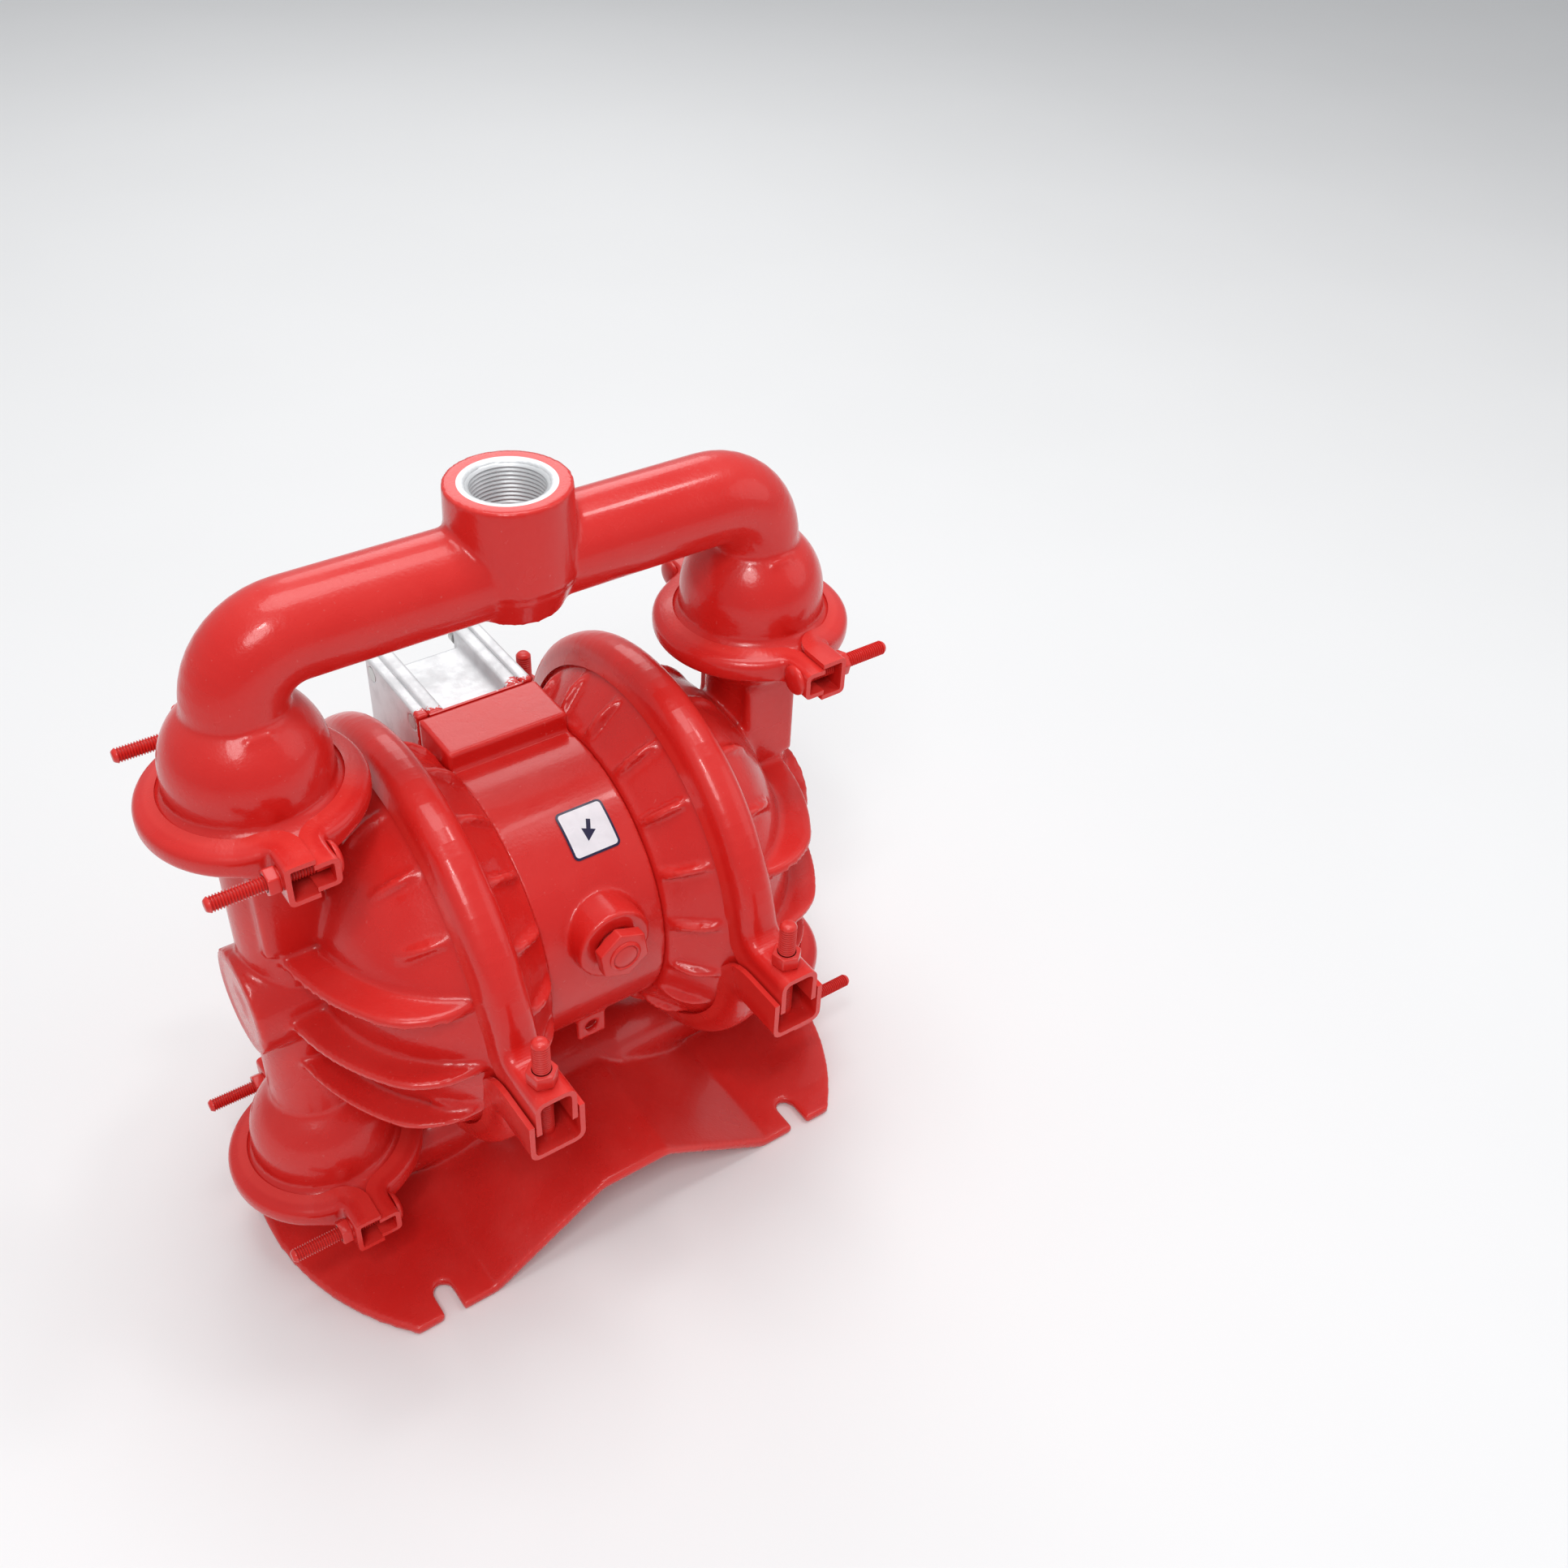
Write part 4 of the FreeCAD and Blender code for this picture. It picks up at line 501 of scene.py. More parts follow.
def dress(name, mesh, finishes, body, replaces, sharp, spread):
    """Gives a mesh its finishes and its edge values, and makes it an object that rides on a body."""
    for finish_name in finishes:
        mesh.materials.append(finish(finish_name))
    mesh.shade_smooth()
    if sharp:
        mesh.set_sharp_from_angle(angle=math.radians(sharp))
    mark_edges(mesh, spread)
    made = bpy.data.objects.new(name, mesh)
    bpy.context.scene.collection.objects.link(made)
    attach(made, body)
    if replaces:
        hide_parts(*replaces)
    return made


def closed(bm):
    """Merge doubles, then point all faces outwards."""
    bmesh.ops.remove_doubles(bm, verts=bm.verts, dist=2e-6)
    bmesh.ops.recalc_face_normals(bm, faces=bm.faces)
    return bm


def spun(bm, profile, origin, axis, steps, ring=False):
    """Revolve a row of (radius, height) points about an axis; a ring's row is joined end to end."""
    side = axis.orthogonal().normalized()
    points = [origin + axis * high + side * radius for radius, high in profile]
    verts = [bm.verts.new(point) for point in points]
    pairs = list(zip(verts, verts[1:] + verts[:1])) if ring else list(zip(verts, verts[1:]))
    edges = [bm.edges.new(pair) for pair in pairs]
    before = set(bm.faces)
    bmesh.ops.spin(bm, geom=verts + edges, cent=origin, axis=axis, dvec=(0, 0, 0), angle=2 * math.pi,
                   steps=steps, use_merge=True, use_duplicate=False)
    fresh = [face for face in bm.faces if face not in before]
    bmesh.ops.remove_doubles(bm, verts=list({v for face in fresh for v in face.verts}), dist=1e-6)
    fresh = [face for face in bm.faces if face not in before]
    bmesh.ops.recalc_face_normals(bm, faces=fresh)


def hexagon(bm, origin, axis, flats, height, turn, bevel, segments):
    """A bevelled hexagonal prism standing on origin along an axis."""
    radius = flats / math.sqrt(3)
    pose = Matrix.Translation(origin) @ axis.to_track_quat("Z", "Y").to_matrix().to_4x4()
    pose = pose @ Matrix.Rotation(turn, 4, "Z") @ Matrix.Translation((0, 0, height / 2))
    made = bmesh.ops.create_cone(bm, cap_ends=True, segments=6, radius1=radius, radius2=radius,
                                 depth=height, matrix=pose)["verts"]
    round_edges(bm, made, bevel, segments)


def round_edges(bm, verts, bevel, segments):
    """Bevel every edge that meets these corners."""
    edges = list({edge for v in verts for edge in v.link_edges})
    bmesh.ops.bevel(bm, geom=edges, offset=bevel, segments=segments, profile=0.5, affect="EDGES",
                    material=-1)


def box(bm, low, high, bevel=0.0):
    """A box between two corners."""
    low, high = Vector(low), Vector(high)
    pose = Matrix.Translation((low + high) / 2) @ Matrix.Diagonal((*(high - low), 1.0))
    made = bmesh.ops.create_cube(bm, size=1.0, matrix=pose)["verts"]
    if bevel:
        round_edges(bm, made, bevel, 2)


def swept(bm, rings):
    """Extrude one face through a row of rings with equal numbers of points."""
    face = bm.faces.new([bm.verts.new(point) for point in rings[0]])
    for last, ring in zip(rings, rings[1:]):
        grown = bmesh.ops.extrude_face_region(bm, geom=[face])["geom"]
        face = [item for item in grown if isinstance(item, bmesh.types.BMFace)][0]
        corners = list(face.verts)
        order = [min(range(len(last)), key=lambda i: (v.co - last[i]).length_squared) for v in corners]
        for v, i in zip(corners, order):
            v.co = ring[i]


def cast(name, nodes, voxel, extras=None, finish_name="red_enamel", smoothing=None):
    """A casting: the CAD solids and any added detail, fused on a grid so that all edges are rounded."""
    bm = bmesh.new()
    for node in nodes:
        bm.from_mesh(frame["nodes"][node].data)
    bmesh.ops.remove_doubles(bm, verts=bm.verts, dist=2e-6)
    if extras:
        extras(bm)
    rough = bpy.data.meshes.new(name + "_rough")
    bm.to_mesh(rough)
    bm.free()
    blank = bpy.data.objects.new(name + "_rough", rough)
    bpy.context.scene.collection.objects.link(blank)
    grid = blank.modifiers.new("grid", "REMESH")
    grid.mode = "VOXEL"
    grid.voxel_size = voxel
    soften = blank.modifiers.new("soften", "SMOOTH")
    soften.factor = 0.5
    soften.iterations = sizes().casting_smoothing if smoothing is None else smoothing
    depsgraph = bpy.context.evaluated_depsgraph_get()
    mesh = bpy.data.meshes.new_from_object(blank.evaluated_get(depsgraph))
    mesh.name = name
    bpy.data.objects.remove(blank)
    bpy.data.meshes.remove(rough)
    mesh.materials.clear()
    return dress(name, mesh, [finish_name], "root", nodes, sharp=0, spread=2)


# -------------------------------------------------------------------- castings

def both_sides(build):
    for sign, side in ((1, "right"), (-1, "left")):
        build(sign, side)


def manifold_dashes(bm):
    """A raised dash at the foot of each elbow, and a rounded shoulder round the port."""
    for sign in (1, -1):
        x = sign * COLUMN
        box(bm, (x - 6.5 * MM, -28.4 * MM, UPPER_JOINT + 48 * MM),
            (x + 6.5 * MM, -18 * MM, UPPER_JOINT + 52 * MM))
    top = port("discharge_port")[0].z
    spun(bm, [(0, top - 66 * MM), (24 * MM, top - 66 * MM), (31 * MM, top - 50 * MM),
              (31 * MM, top - 44 * MM), (0, top - 44 * MM)], ORIGIN, Z, 48)


def chamber_bosses(side_sign):
    """Ring and flat centre on the chamber's round boss, and a flat land on the column."""
    def add(bm):
        origin = Vector((side_sign * CAP_FACE, 0, SHAFT.z))
        axis = X * side_sign
        spun(bm, [(22 * MM, -2 * MM), (27 * MM, -2 * MM), (26.4 * MM, 1.0 * MM), (24 * MM, 1.0 * MM)],
             origin, axis, 64, ring=True)
        spun(bm, [(0, -3 * MM), (9 * MM, -3 * MM), (8 * MM, 0.9 * MM), (0, 0.9 * MM)], origin, axis, 40)
        x = side_sign * COLUMN
        box(bm, (x - 17 * MM, -25 * MM, SHAFT.z + 44 * MM),
            (x + 17 * MM, 25 * MM, SHAFT.z + 100 * MM), 2 * MM)
    return add


class PUMP_OT_manifolds(bpy.types.Operator):
    """Discharge manifold, and inlet manifold with its foot"""
    bl_idname = "pump.manifolds"
    bl_label = "Manifolds"

    def execute(self, context):
        voxel = sizes().casting_voxel
        cast("discharge_casting", ["discharge_manifold"], voxel, manifold_dashes,
             "red_enamel_ported")
        cast("foot_casting", ["inlet_manifold"], voxel * 1.2, finish_name="red_enamel_ported",
             smoothing=7)
        return {"FINISHED"}


class PUMP_OT_chambers(bpy.types.Operator):
    """Air and liquid chambers with their ribs and fins"""
    bl_idname = "pump.chambers"
    bl_label = "Chambers"

    def execute(self, context):
        voxel = sizes().casting_voxel

        def build(sign, side):
            cast(side + "_air_casting", [side + "_air_chamber"], voxel * 1.1)
            cast(side + "_liquid_casting", [side + "_liquid_chamber"], voxel * 1.15,
                 chamber_bosses(sign))
        both_sides(build)
        return {"FINISHED"}


class PUMP_OT_centre(bpy.types.Operator):
    """Centre block and air valve"""
    bl_idname = "pump.centre"
    bl_label = "Centre block and air valve"

    def execute(self, context):
        cast("centre_casting", ["centre_block"], sizes().casting_voxel * 0.85, smoothing=1)
        voxel = sizes().valve_voxel
        cast("valve_casting", ["air_valve_body"], voxel, finish_name="red_overspray",
             smoothing=2)
        for side in ("right", "left"):
            node = f"air_valve_{side}_end_cap"
            cast(f"valve_{side}_cap", [node], voxel * 0.8, finish_name="red_overspray",
                 smoothing=2)
        return {"FINISHED"}


# ----------------------------------------------------------------- clamp bands

def channel(tip_half, floor_half, depth, corner, sheet):
    """Outline of a pressed channel: (across, deep) points round its outside, then back round its inside."""
    steps = 6

    def rounded(start, bend, stop, reach):
        first = bend + (start - bend).normalized() * reach
        last = bend + (stop - bend).normalized() * reach
        shares = [i / steps for i in range(steps + 1)]
        return [first.lerp(bend, t).lerp(bend.lerp(last, t), t) for t in shares]

    def shell(half, floor, level, reach):
        a, b = Vector((-half, depth)), Vector((-floor, level))
        c, d = Vector((floor, level)), Vector((half, depth))
        return [a] + rounded(a, b, c, reach) + rounded(b, c, d, reach) + [d]
    outside = shell(tip_half, floor_half, 0.0, corner)
    inside = shell(tip_half - sheet, floor_half - sheet * 0.9, sheet, max(corner - sheet * 0.8, 0.5 * MM))
    return outside + inside[::-1]


def band_half(bm, centre, axis, away, radius, bend, level, reach, on_ring, on_ear):
    """One half of a clamp band: a channel round the joint that turns out into an ear at each end."""
    straight, turn, side = 4, 8, 22
    fade = math.radians(16)
    turn_y = math.sqrt((radius + bend) ** 2 - (level + bend) ** 2)
    lift = math.atan2(level + bend, turn_y)
    path = []
    for i in range(straight + 1):
        t = i / straight
        path.append((reach + (turn_y - reach) * t, level, 0.0, -1.0, 1.0))
    for i in range(1, turn + 1):
        angle = math.radians(270) + (lift - math.radians(90)) * i / turn
        path.append((turn_y + bend * math.cos(angle), level + bend + bend * math.sin(angle),
                     math.cos(angle), math.sin(angle), 1.0 - 0.5 * i / turn))
    for i in range(1, side + 1):
        angle = lift + (math.pi / 2 - lift) * i / side
        path.append((radius * math.cos(angle), radius * math.sin(angle), -math.cos(angle), -math.sin(angle),
                     0.5 * max(0.0, 1.0 - (angle - lift) / fade)))
    path += [(-e, s, -m, n, t) for e, s, m, n, t in path[-2::-1]]
    rings = []
    for e, s, m, n, t in path:
        t = t * t * (3 - 2 * t)
        shape = [a.lerp(b, t) for a, b in zip(on_ring, on_ear)]
        rings.append([centre + axis * p.x + (Y * e + away * s) + (Y * m + away * n) * p.y for p in shape])
    swept(bm, rings)


class PUMP_OT_large_clamps(bpy.types.Operator):
    """The two large clamp bands round the diaphragm joints"""
    bl_idname = "pump.large_clamps"
    bl_label = "Large clamp bands"

    def execute(self, context):
        sheet = sizes().sheet
        on_ring = channel(14 * MM, 9.5 * MM, 15.5 * MM, 8.5 * MM, sheet)

        def build(sign, side):
            centre = Vector((sign * BAND_PLACE, 0, SHAFT.z))
            for half, away, level, width, depth in (("upper", Z, UPPER_EAR, 11.5 * MM, 22.5 * MM),
                                                    ("lower", -Z, LOWER_EAR, 15.5 * MM, 26 * MM)):
                bm = bmesh.new()
                on_ear = channel(width, width, depth, 6.5 * MM, sheet)
                band_half(bm, centre, X, away, LARGE_RING, 9 * MM, level, LARGE_REACH, on_ring, on_ear)
                piece(f"{side}_large_band_{half}", closed(bm), ["red_enamel_band"],
                      replaces=[f"{side}_large_clamp_{half}_half"], sharp=50)
        both_sides(build)
        return {"FINISHED"}


class PUMP_OT_small_clamps(bpy.types.Operator):
    """The four small clamp bands round the manifold joints"""
    bl_idname = "pump.small_clamps"
    bl_label = "Small clamp bands"

    def execute(self, context):
        sheet = sizes().sheet * 0.92
        on_ring = channel(9.4 * MM, 5.6 * MM, 11.4 * MM, 4.6 * MM, sheet)

        def build(sign, side):
            for row, height in (("upper", UPPER_JOINT), ("lower", LOWER_JOINT)):
                centre = Vector((sign * COLUMN, 0, height))
                for half, way, width, depth in (("inner", -1, 8 * MM, 12 * MM),
                                                ("outer", 1, 11.5 * MM, 15 * MM)):
                    bm = bmesh.new()
                    on_ear = channel(width, width, depth, 3.6 * MM, sheet)
                    band_half(bm, centre, Z, X * sign * way, SMALL_RING, 4.5 * MM, SMALL_EAR, SMALL_REACH,
                              on_ring, on_ear)
                    piece(f"{row}_{side}_small_band_{half}", closed(bm), ["red_enamel_band"],
                          replaces=[f"{row}_{side}_clamp_{half}_half"], sharp=50)
        both_sides(build)
        return {"FINISHED"}


# ------------------------------------------------------------------- fasteners

def stud(bm, foot, axis, radius, length, pitch, plain):
    """A round-headed bolt: domed head, plain shank and rolled thread."""
    head = BOLT_HEAD * radius
    deep = radius * 0.98
    profile = [(0, -deep)]
    profile += [(head * math.sin(a), -deep + deep * 0.86 * (1 - math.cos(a)))
                for a in [math.pi / 2 * i / 6 for i in range(1, 7)]]
    profile += [(head, 0), (radius, 0), (radius, plain)]
    root = radius - 0.6 * pitch
    for i in range(int((length - plain - pitch) / pitch)):
        start = plain + pitch * i
        profile += [(root, start + 0.30 * pitch), (root, start + 0.48 * pitch),
                    (radius, start + 0.82 * pitch), (radius, start + 0.96 * pitch)]
    profile += [(root, length - 0.4 * pitch), (root * 0.82, length), (0, length)]
    spun(bm, profile, foot, axis, 28)


def nut(bm, face, axis, flats, height, bore):
    """A chamfered hexagon nut with a raised washer face."""
    hexagon(bm, face + axis * 0.5 * MM, axis, flats, height - 0.5 * MM, math.radians(12), 0.75 * MM, 3)
    washer = [(bore, 0), (flats * 0.47, 0), (flats * 0.47, 0.8 * MM), (bore, 0.8 * MM)]
    crown = [(bore, height - MM), (flats * 0.40, height - MM), (flats * 0.36, height), (bore, height)]
    for profile in (washer, crown):
        spun(bm, profile, face, axis, 28, ring=True)


def fastener_pieces(size, bolts, nuts):
    """All bolts and all nuts of one size, as two pieces."""
    for kind, bm in (("bolts", bolts), ("nuts", nuts)):
        piece(f"{size}_band_{kind}", bm, ["red_enamel_fastener"], replaces=[f"{size}_clamp_{kind}"],
              sharp=45)


class PUMP_OT_fasteners(bpy.types.Operator):
    """Threaded bolts and nuts of all clamp bands"""
    bl_idname = "pump.fasteners"
    bl_label = "Clamp bolts and nuts"

    def execute(self, context):
        s = sizes()
        bolts, nuts = bmesh.new(), bmesh.new()
        for sign in (1, -1):
            for front in (1, -1):
                foot = Vector((sign * BAND_PLACE, front * LARGE_BOLT, SHAFT.z - LOWER_EAR))
                stud(bolts, foot, Z, LARGE_STUD, 69 * MM, s.large_pitch, 8 * MM)
                nut(nuts, foot + Z * 40.5 * MM, Z, LARGE_FLATS, 8.4 * MM, 4.5 * MM)
        fastener_pieces("large", bolts, nuts)
        bolts, nuts = bmesh.new(), bmesh.new()
        for sign in (1, -1):
            for front in (1, -1):
                for height in (UPPER_JOINT, LOWER_JOINT):
                    foot = Vector((sign * (COLUMN - SMALL_EAR), front * SMALL_BOLT, height))
                    axis = X * sign
                    stud(bolts, foot, axis, SMALL_STUD, 60 * MM, s.small_pitch, 9 * MM)
                    nut(nuts, foot + axis * 26 * MM, axis, SMALL_FLATS, 6.5 * MM, 3.8 * MM)
        fastener_pieces("small", bolts, nuts)
        return {"FINISHED"}


# -------------------------------------------------------------------- fittings

def thread_liner(bm, mouth, inwards, radius, deep, pitch, face_radius):
    """Threaded bore with a bare chamfered mouth and a bare ring round it."""
    profile = [(face_radius, 0.1 * MM), (radius + 1.3 * MM, 0.1 * MM), (radius - 0.2 * MM, 1.6 * MM)]
    for i in range(int((deep - 3 * MM) / pitch)):
        start = 1.6 * MM + pitch * i
        profile += [(radius - 1.5 * MM, start + 0.35 * pitch), (radius - 1.5 * MM, start + 0.5 * pitch),
                    (radius - 0.15 * MM, start + 0.9 * pitch)]
    profile += [(radius - 1.6 * MM, deep), (radius + 0.6 * MM, deep), (radius + 0.6 * MM, 2.2 * MM),
                (face_radius, 1.2 * MM)]
    spun(bm, profile, mouth, inwards, 72, ring=True)


class PUMP_OT_ports(bpy.types.Operator):
    """Threads and bare faces of the discharge and suction ports"""
    bl_idname = "pump.ports"
    bl_label = "Port threads"

    def execute(self, context):
        pitch = sizes().port_pitch
        for name in ("discharge_port", "suction_port"):
            face, axis, radius = port(name)
            bm = bmesh.new()
            thread_liner(bm, face, -axis, radius, 29 * MM, pitch, radius + 2.6 * MM)
            piece(name + "_thread", closed(bm), ["light_aluminium"], sharp=60)
        return {"FINISHED"}


class PUMP_OT_fittings(bpy.types.Operator):
    """Air inlet plug, muffler and label"""
    bl_idname = "pump.fittings"
    bl_label = "Plug, muffler and label"

    def execute(self, context):
        self.plug()
        self.muffler()
        self.label()
        return {"FINISHED"}

    def plug(self):
        centre = middle("air_inlet_plug")
        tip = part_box("air_inlet_plug")[0][1]
        bm = bmesh.new()
        shank = [(0, 0), (10.2 * MM, 0), (10.2 * MM, 20 * MM), (11.6 * MM, 20 * MM), (11.6 * MM, 25 * MM),
                 (0, 25 * MM)]
        spun(bm, shank, Vector((centre.x, tip + 30 * MM, centre.z)), -Y, 48)
        hexagon(bm, Vector((centre.x, tip + 8.5 * MM, centre.z)), -Y, PLUG_FLATS, 7 * MM, math.radians(8),
                0.9 * MM, 3)
        spun(bm, [(0, 0), (9.6 * MM, 0), (9.2 * MM, 1.8 * MM), (7.9 * MM, 2.5 * MM), (7.0 * MM, 1.7 * MM),
                  (6.2 * MM, 2.1 * MM), (0, 2.2 * MM)], Vector((centre.x, tip + 2.5 * MM, centre.z)), -Y, 48)
        piece("inlet_plug", bm, ["red_enamel_fastener"], replaces=["air_inlet_plug"],
              sharp=40)

    def muffler(self):
        centre = middle("muffler")
        start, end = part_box("muffler")[0][1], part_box("muffler")[1][1]
        bm = bmesh.new()
        foot = Vector((centre.x, start, centre.z))
        spun(bm, [(0, 0), (8.8 * MM, 0), (8.8 * MM, 17 * MM), (0, 17 * MM)], foot, Y, 32)
        hexagon(bm, foot + Y * 16 * MM, Y, MUFFLER_FLATS, 8 * MM, 0.0, 0.8 * MM, 2)
        profile = [(0, 24 * MM), (12 * MM, 24 * MM), (15.6 * MM, 26 * MM)]
        span = (end - start) - 30 * MM
        for i in range(MUFFLER_RINGS):
            place_y = 26 * MM + span * (i + 0.5) / MUFFLER_RINGS
            profile += [(15.8 * MM, place_y - span / 36), (14.6 * MM, place_y - span / 50),
                        (14.6 * MM, place_y + span / 50), (15.8 * MM, place_y + span / 36)]
        profile += [(15.6 * MM, end - start - 3 * MM), (13 * MM, end - start), (0, end - start)]
        spun(bm, profile, foot, Y, 48)
        piece("exhaust_muffler", bm, ["porous_plastic"], replaces=["muffler"],
              sharp=40)

    def label(self):
        """Square label with rounded corners on the drum: border, field and an arrow to the air inlet."""
        side = sizes().label_side

        def sheet(half, corner, lift, finish_name, name):
            bm = bmesh.new()
            bmesh.ops.create_grid(bm, x_segments=1, y_segments=1, size=half)
            bmesh.ops.bevel(bm, geom=bm.verts[:], offset=corner, segments=6, profile=0.5, affect="VERTICES",
                            material=-1)
            for i in range(1, 20):
                bmesh.ops.bisect_plane(bm, geom=bm.verts[:] + bm.edges[:] + bm.faces[:],
                                       plane_co=(0, half * (i / 10 - 1), 0), plane_no=(0, 1, 0))
            self.wrap(bm, DRUM + lift)
            bmesh.ops.recalc_face_normals(bm, faces=bm.faces)
            piece(name, bm, [finish_name], sharp=0)
        sheet(side / 2, 3 * MM, 0.55 * MM, "label_navy", "label_border")
        sheet(side / 2 - 1.3 * MM, 2 * MM, 0.66 * MM, "label_white", "label_field")
        bm = bmesh.new()
        shaft = bmesh.ops.create_grid(bm, x_segments=4, y_segments=8, size=1.0)["verts"]
        for v in shaft:
            v.co = Vector((v.co.x * 1.2 * MM, v.co.y * 3.2 * MM + 2.6 * MM, 0))
        head = bmesh.ops.create_circle(bm, cap_ends=True, segments=3, radius=4.6 * MM)["verts"]
        bmesh.ops.rotate(bm, verts=head, cent=ORIGIN, matrix=Matrix.Rotation(math.pi, 3, "Z"))
        bmesh.ops.translate(bm, verts=head, vec=(0, -2.0 * MM, 0))
        bmesh.ops.rotate(bm, verts=bm.verts, cent=ORIGIN, matrix=Matrix.Rotation(math.radians(-24), 3, "Z"))
        self.wrap(bm, DRUM + 0.78 * MM)
        bmesh.ops.recalc_face_normals(bm, faces=bm.faces)
        piece("label_arrow", bm, ["label_navy"], sharp=0)

    def wrap(self, bm, radius):
        """Bend a flat sheet round the drum, with its middle above the air inlet."""
        for v in bm.verts:
            up = math.radians(LABEL_TILT) + v.co.y / radius
            v.co = Vector((LABEL_X + v.co.x, -radius * math.cos(up), SHAFT.z + radius * math.sin(up)))


# ---------------------------------------------------------------- inner pieces

class PUMP_OT_inner_pieces(bpy.types.Operator):
    """Finishes of the pieces that keep their CAD shape"""
    bl_idname = "pump.inner_pieces"
    bl_label = "Inner pieces"

    def execute(self, context):
        finishes = {"red_paint": "red_enamel", "painted_fastener": "red_enamel_fastener",
                    "painted_band": "red_enamel_band", "bare_casting": "light_aluminium",
                    "zinc_steel": "zinc_steel", "rubber": "black_rubber", "muffler_plastic": "porous_plastic",
                    "bearing_bronze": "sintered_bronze", "piston_aluminium": "machined_aluminium",
                    "polished_steel": "ground_steel", "gasket": "red_overspray"}
        slots = {part["node"]: part["material_slot"] for part in frame["record"]["subparts"]}
        slots["air_valve_gasket"] = "gasket"
        for name, node in frame["nodes"].items():
            look = finish(finishes[slots[name]])
            for place in node.material_slots:
                place.link = "OBJECT"
                place.material = look
        return {"FINISHED"}


# ----------------------------------------------------------------------- stage

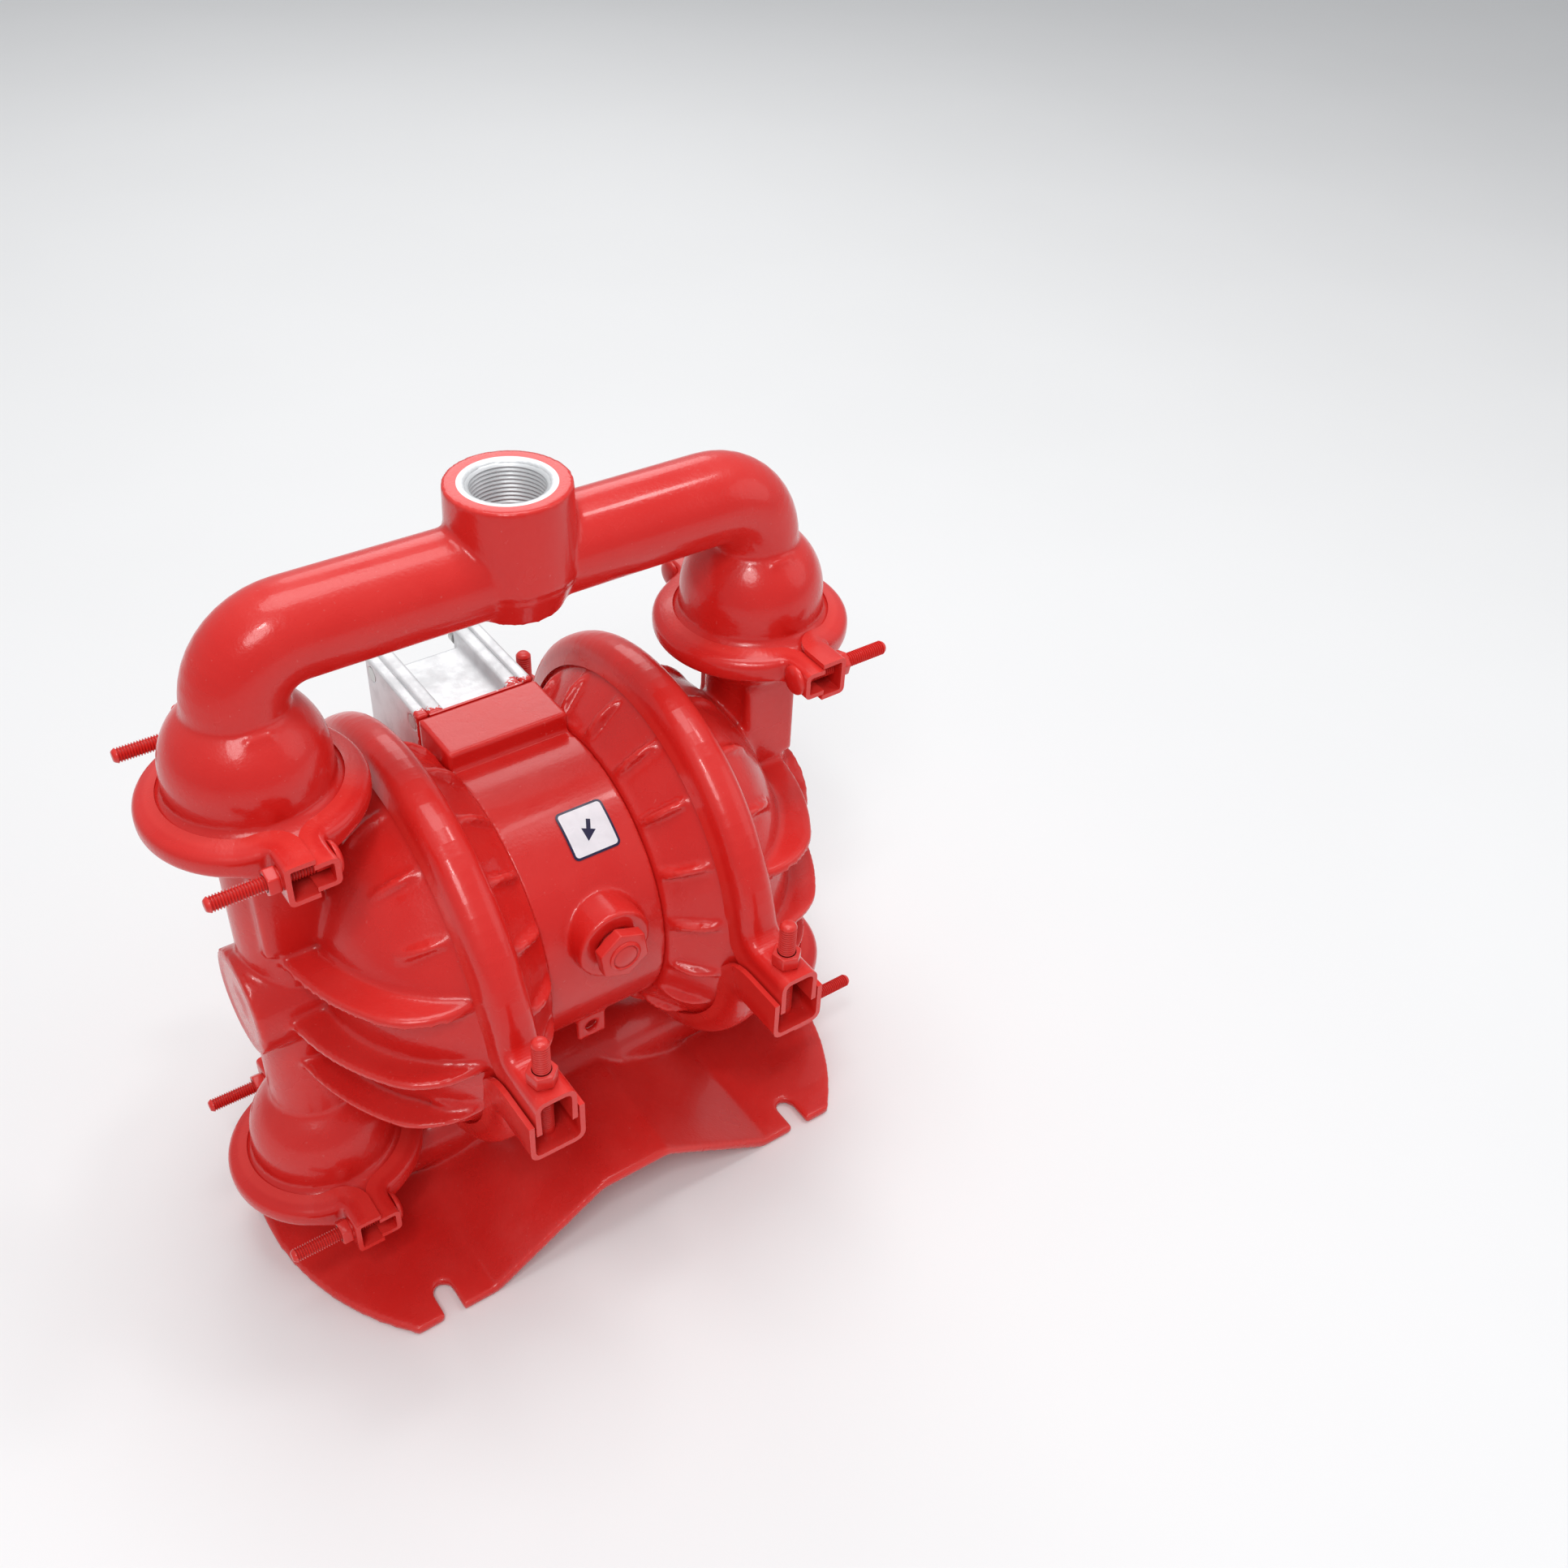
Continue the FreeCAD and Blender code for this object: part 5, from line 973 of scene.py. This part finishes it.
class PUMP_OT_stage(bpy.types.Operator):
    """Floor, soft studio lights and camera"""
    bl_idname = "pump.stage"
    bl_label = "Stage"

    def execute(self, context):
        self.floor()
        self.lights()
        self.camera()
        return {"FINISHED"}

    def floor(self):
        bm = bmesh.new()
        bmesh.ops.create_grid(bm, x_segments=8, y_segments=8, size=6.0)
        mesh = bpy.data.meshes.new("studio_floor")
        bm.to_mesh(mesh)
        bm.free()
        made, w, shader, place = material("pale_floor")
        cloud = w.noise(place, 2.5, 3.0, 0.5)
        pale = tuple(colours().floor)
        worn = tuple(0.985 * v for v in pale)
        w.put(w.mix(w.ramp(cloud, 0.3, 0.7), pale, worn), shader.inputs["Base Color"])
        shader.inputs["Roughness"].default_value = 0.75
        mesh.materials.append(made)
        ground = bpy.data.objects.new("studio_floor", mesh)
        ground.location.z = -0.0005
        bpy.context.scene.collection.objects.link(ground)

    def lights(self):
        target = Vector((0, 0, 0.22))
        for name, place, size, power in (
                ("key", (-1.1, -1.5, 2.4), 1.1, 22), ("top", (0.2, 0.3, 2.6), 1.5, 23),
                ("fill", (1.9, -1.2, 1.2), 1.6, 5), ("rim", (0.9, 1.9, 1.6), 1.2, 8),
                ("glint", (-0.7, -0.9, 2.2), 0.22, 4), ("strip", (1.0, -0.2, 2.3), 0.3, 4)):
            light = bpy.data.lights.new(name, "AREA")
            light.shape = "DISK"
            light.size = size
            light.energy = power
            lamp = bpy.data.objects.new(name, light)
            lamp.location = place
            lamp.rotation_euler = (target - Vector(place)).to_track_quat("-Z", "Y").to_euler()
            bpy.context.scene.collection.objects.link(lamp)
        world = bpy.data.worlds.new("studio")
        world.use_nodes = True
        sky = world.node_tree.nodes["Background"]
        sky.inputs["Color"].default_value = (0.95, 0.97, 1.0, 1.0)
        sky.inputs["Strength"].default_value = 0.46
        bpy.context.scene.world = world
        bpy.context.scene.view_settings.view_transform = "Standard"

    def camera(self):
        lens = bpy.data.cameras.new("camera")
        lens.sensor_width = 36.0
        lens.lens = CAMERA_LENS
        lens.clip_start = 0.01
        view = bpy.data.objects.new("camera", lens)
        turn, lift, roll = (math.radians(angle) for angle in (CAMERA_TURN, CAMERA_LIFT, CAMERA_ROLL))
        back = Vector((math.sin(turn) * math.cos(lift), -math.cos(turn) * math.cos(lift), math.sin(lift)))
        right = Z.cross(back).normalized()
        up = back.cross(right)
        across = right * math.cos(roll) - up * math.sin(roll)
        upright = right * math.sin(roll) + up * math.cos(roll)
        axes = Matrix((across, upright, back)).transposed()
        view.matrix_world = Matrix.Translation(CAMERA_PLACE) @ axes.to_4x4()
        bpy.context.scene.collection.objects.link(view)
        bpy.context.scene.camera = view


# ----------------------------------------------------------------------- panel

STEPS = (PUMP_OT_stage, PUMP_OT_manifolds, PUMP_OT_chambers, PUMP_OT_centre, PUMP_OT_large_clamps,
         PUMP_OT_small_clamps, PUMP_OT_fasteners, PUMP_OT_ports, PUMP_OT_fittings, PUMP_OT_inner_pieces)


class PUMP_PT_panel(bpy.types.Panel):
    """Lists the steps that build the pump"""
    bl_idname = "PUMP_PT_panel"
    bl_label = "Diaphragm pump"
    bl_space_type = "VIEW_3D"
    bl_region_type = "UI"
    bl_category = "Pump"

    def draw(self, context):
        column = self.layout.column()
        for group in (context.scene.pump_sizes, context.scene.pump_colours):
            for name in group.bl_rna.properties.keys():
                if name not in ("rna_type", "name"):
                    column.prop(group, name)
        for step in STEPS:
            column.operator(step.bl_idname)


CLASSES = (PumpSizes, PumpColours, *STEPS, PUMP_PT_panel)


def register():
    for made in CLASSES:
        bpy.utils.register_class(made)
    bpy.types.Scene.pump_sizes = PointerProperty(type=PumpSizes)
    bpy.types.Scene.pump_colours = PointerProperty(type=PumpColours)


def unregister():
    del bpy.types.Scene.pump_colours
    del bpy.types.Scene.pump_sizes
    for made in reversed(CLASSES):
        bpy.utils.unregister_class(made)


def main():
    register()
    bpy.ops.pump.stage()
    bpy.ops.pump.manifolds()
    bpy.ops.pump.chambers()
    bpy.ops.pump.centre()
    bpy.ops.pump.large_clamps()
    bpy.ops.pump.small_clamps()
    bpy.ops.pump.fasteners()
    bpy.ops.pump.ports()
    bpy.ops.pump.fittings()
    bpy.ops.pump.inner_pieces()


if __name__ == "__main__":
    main()
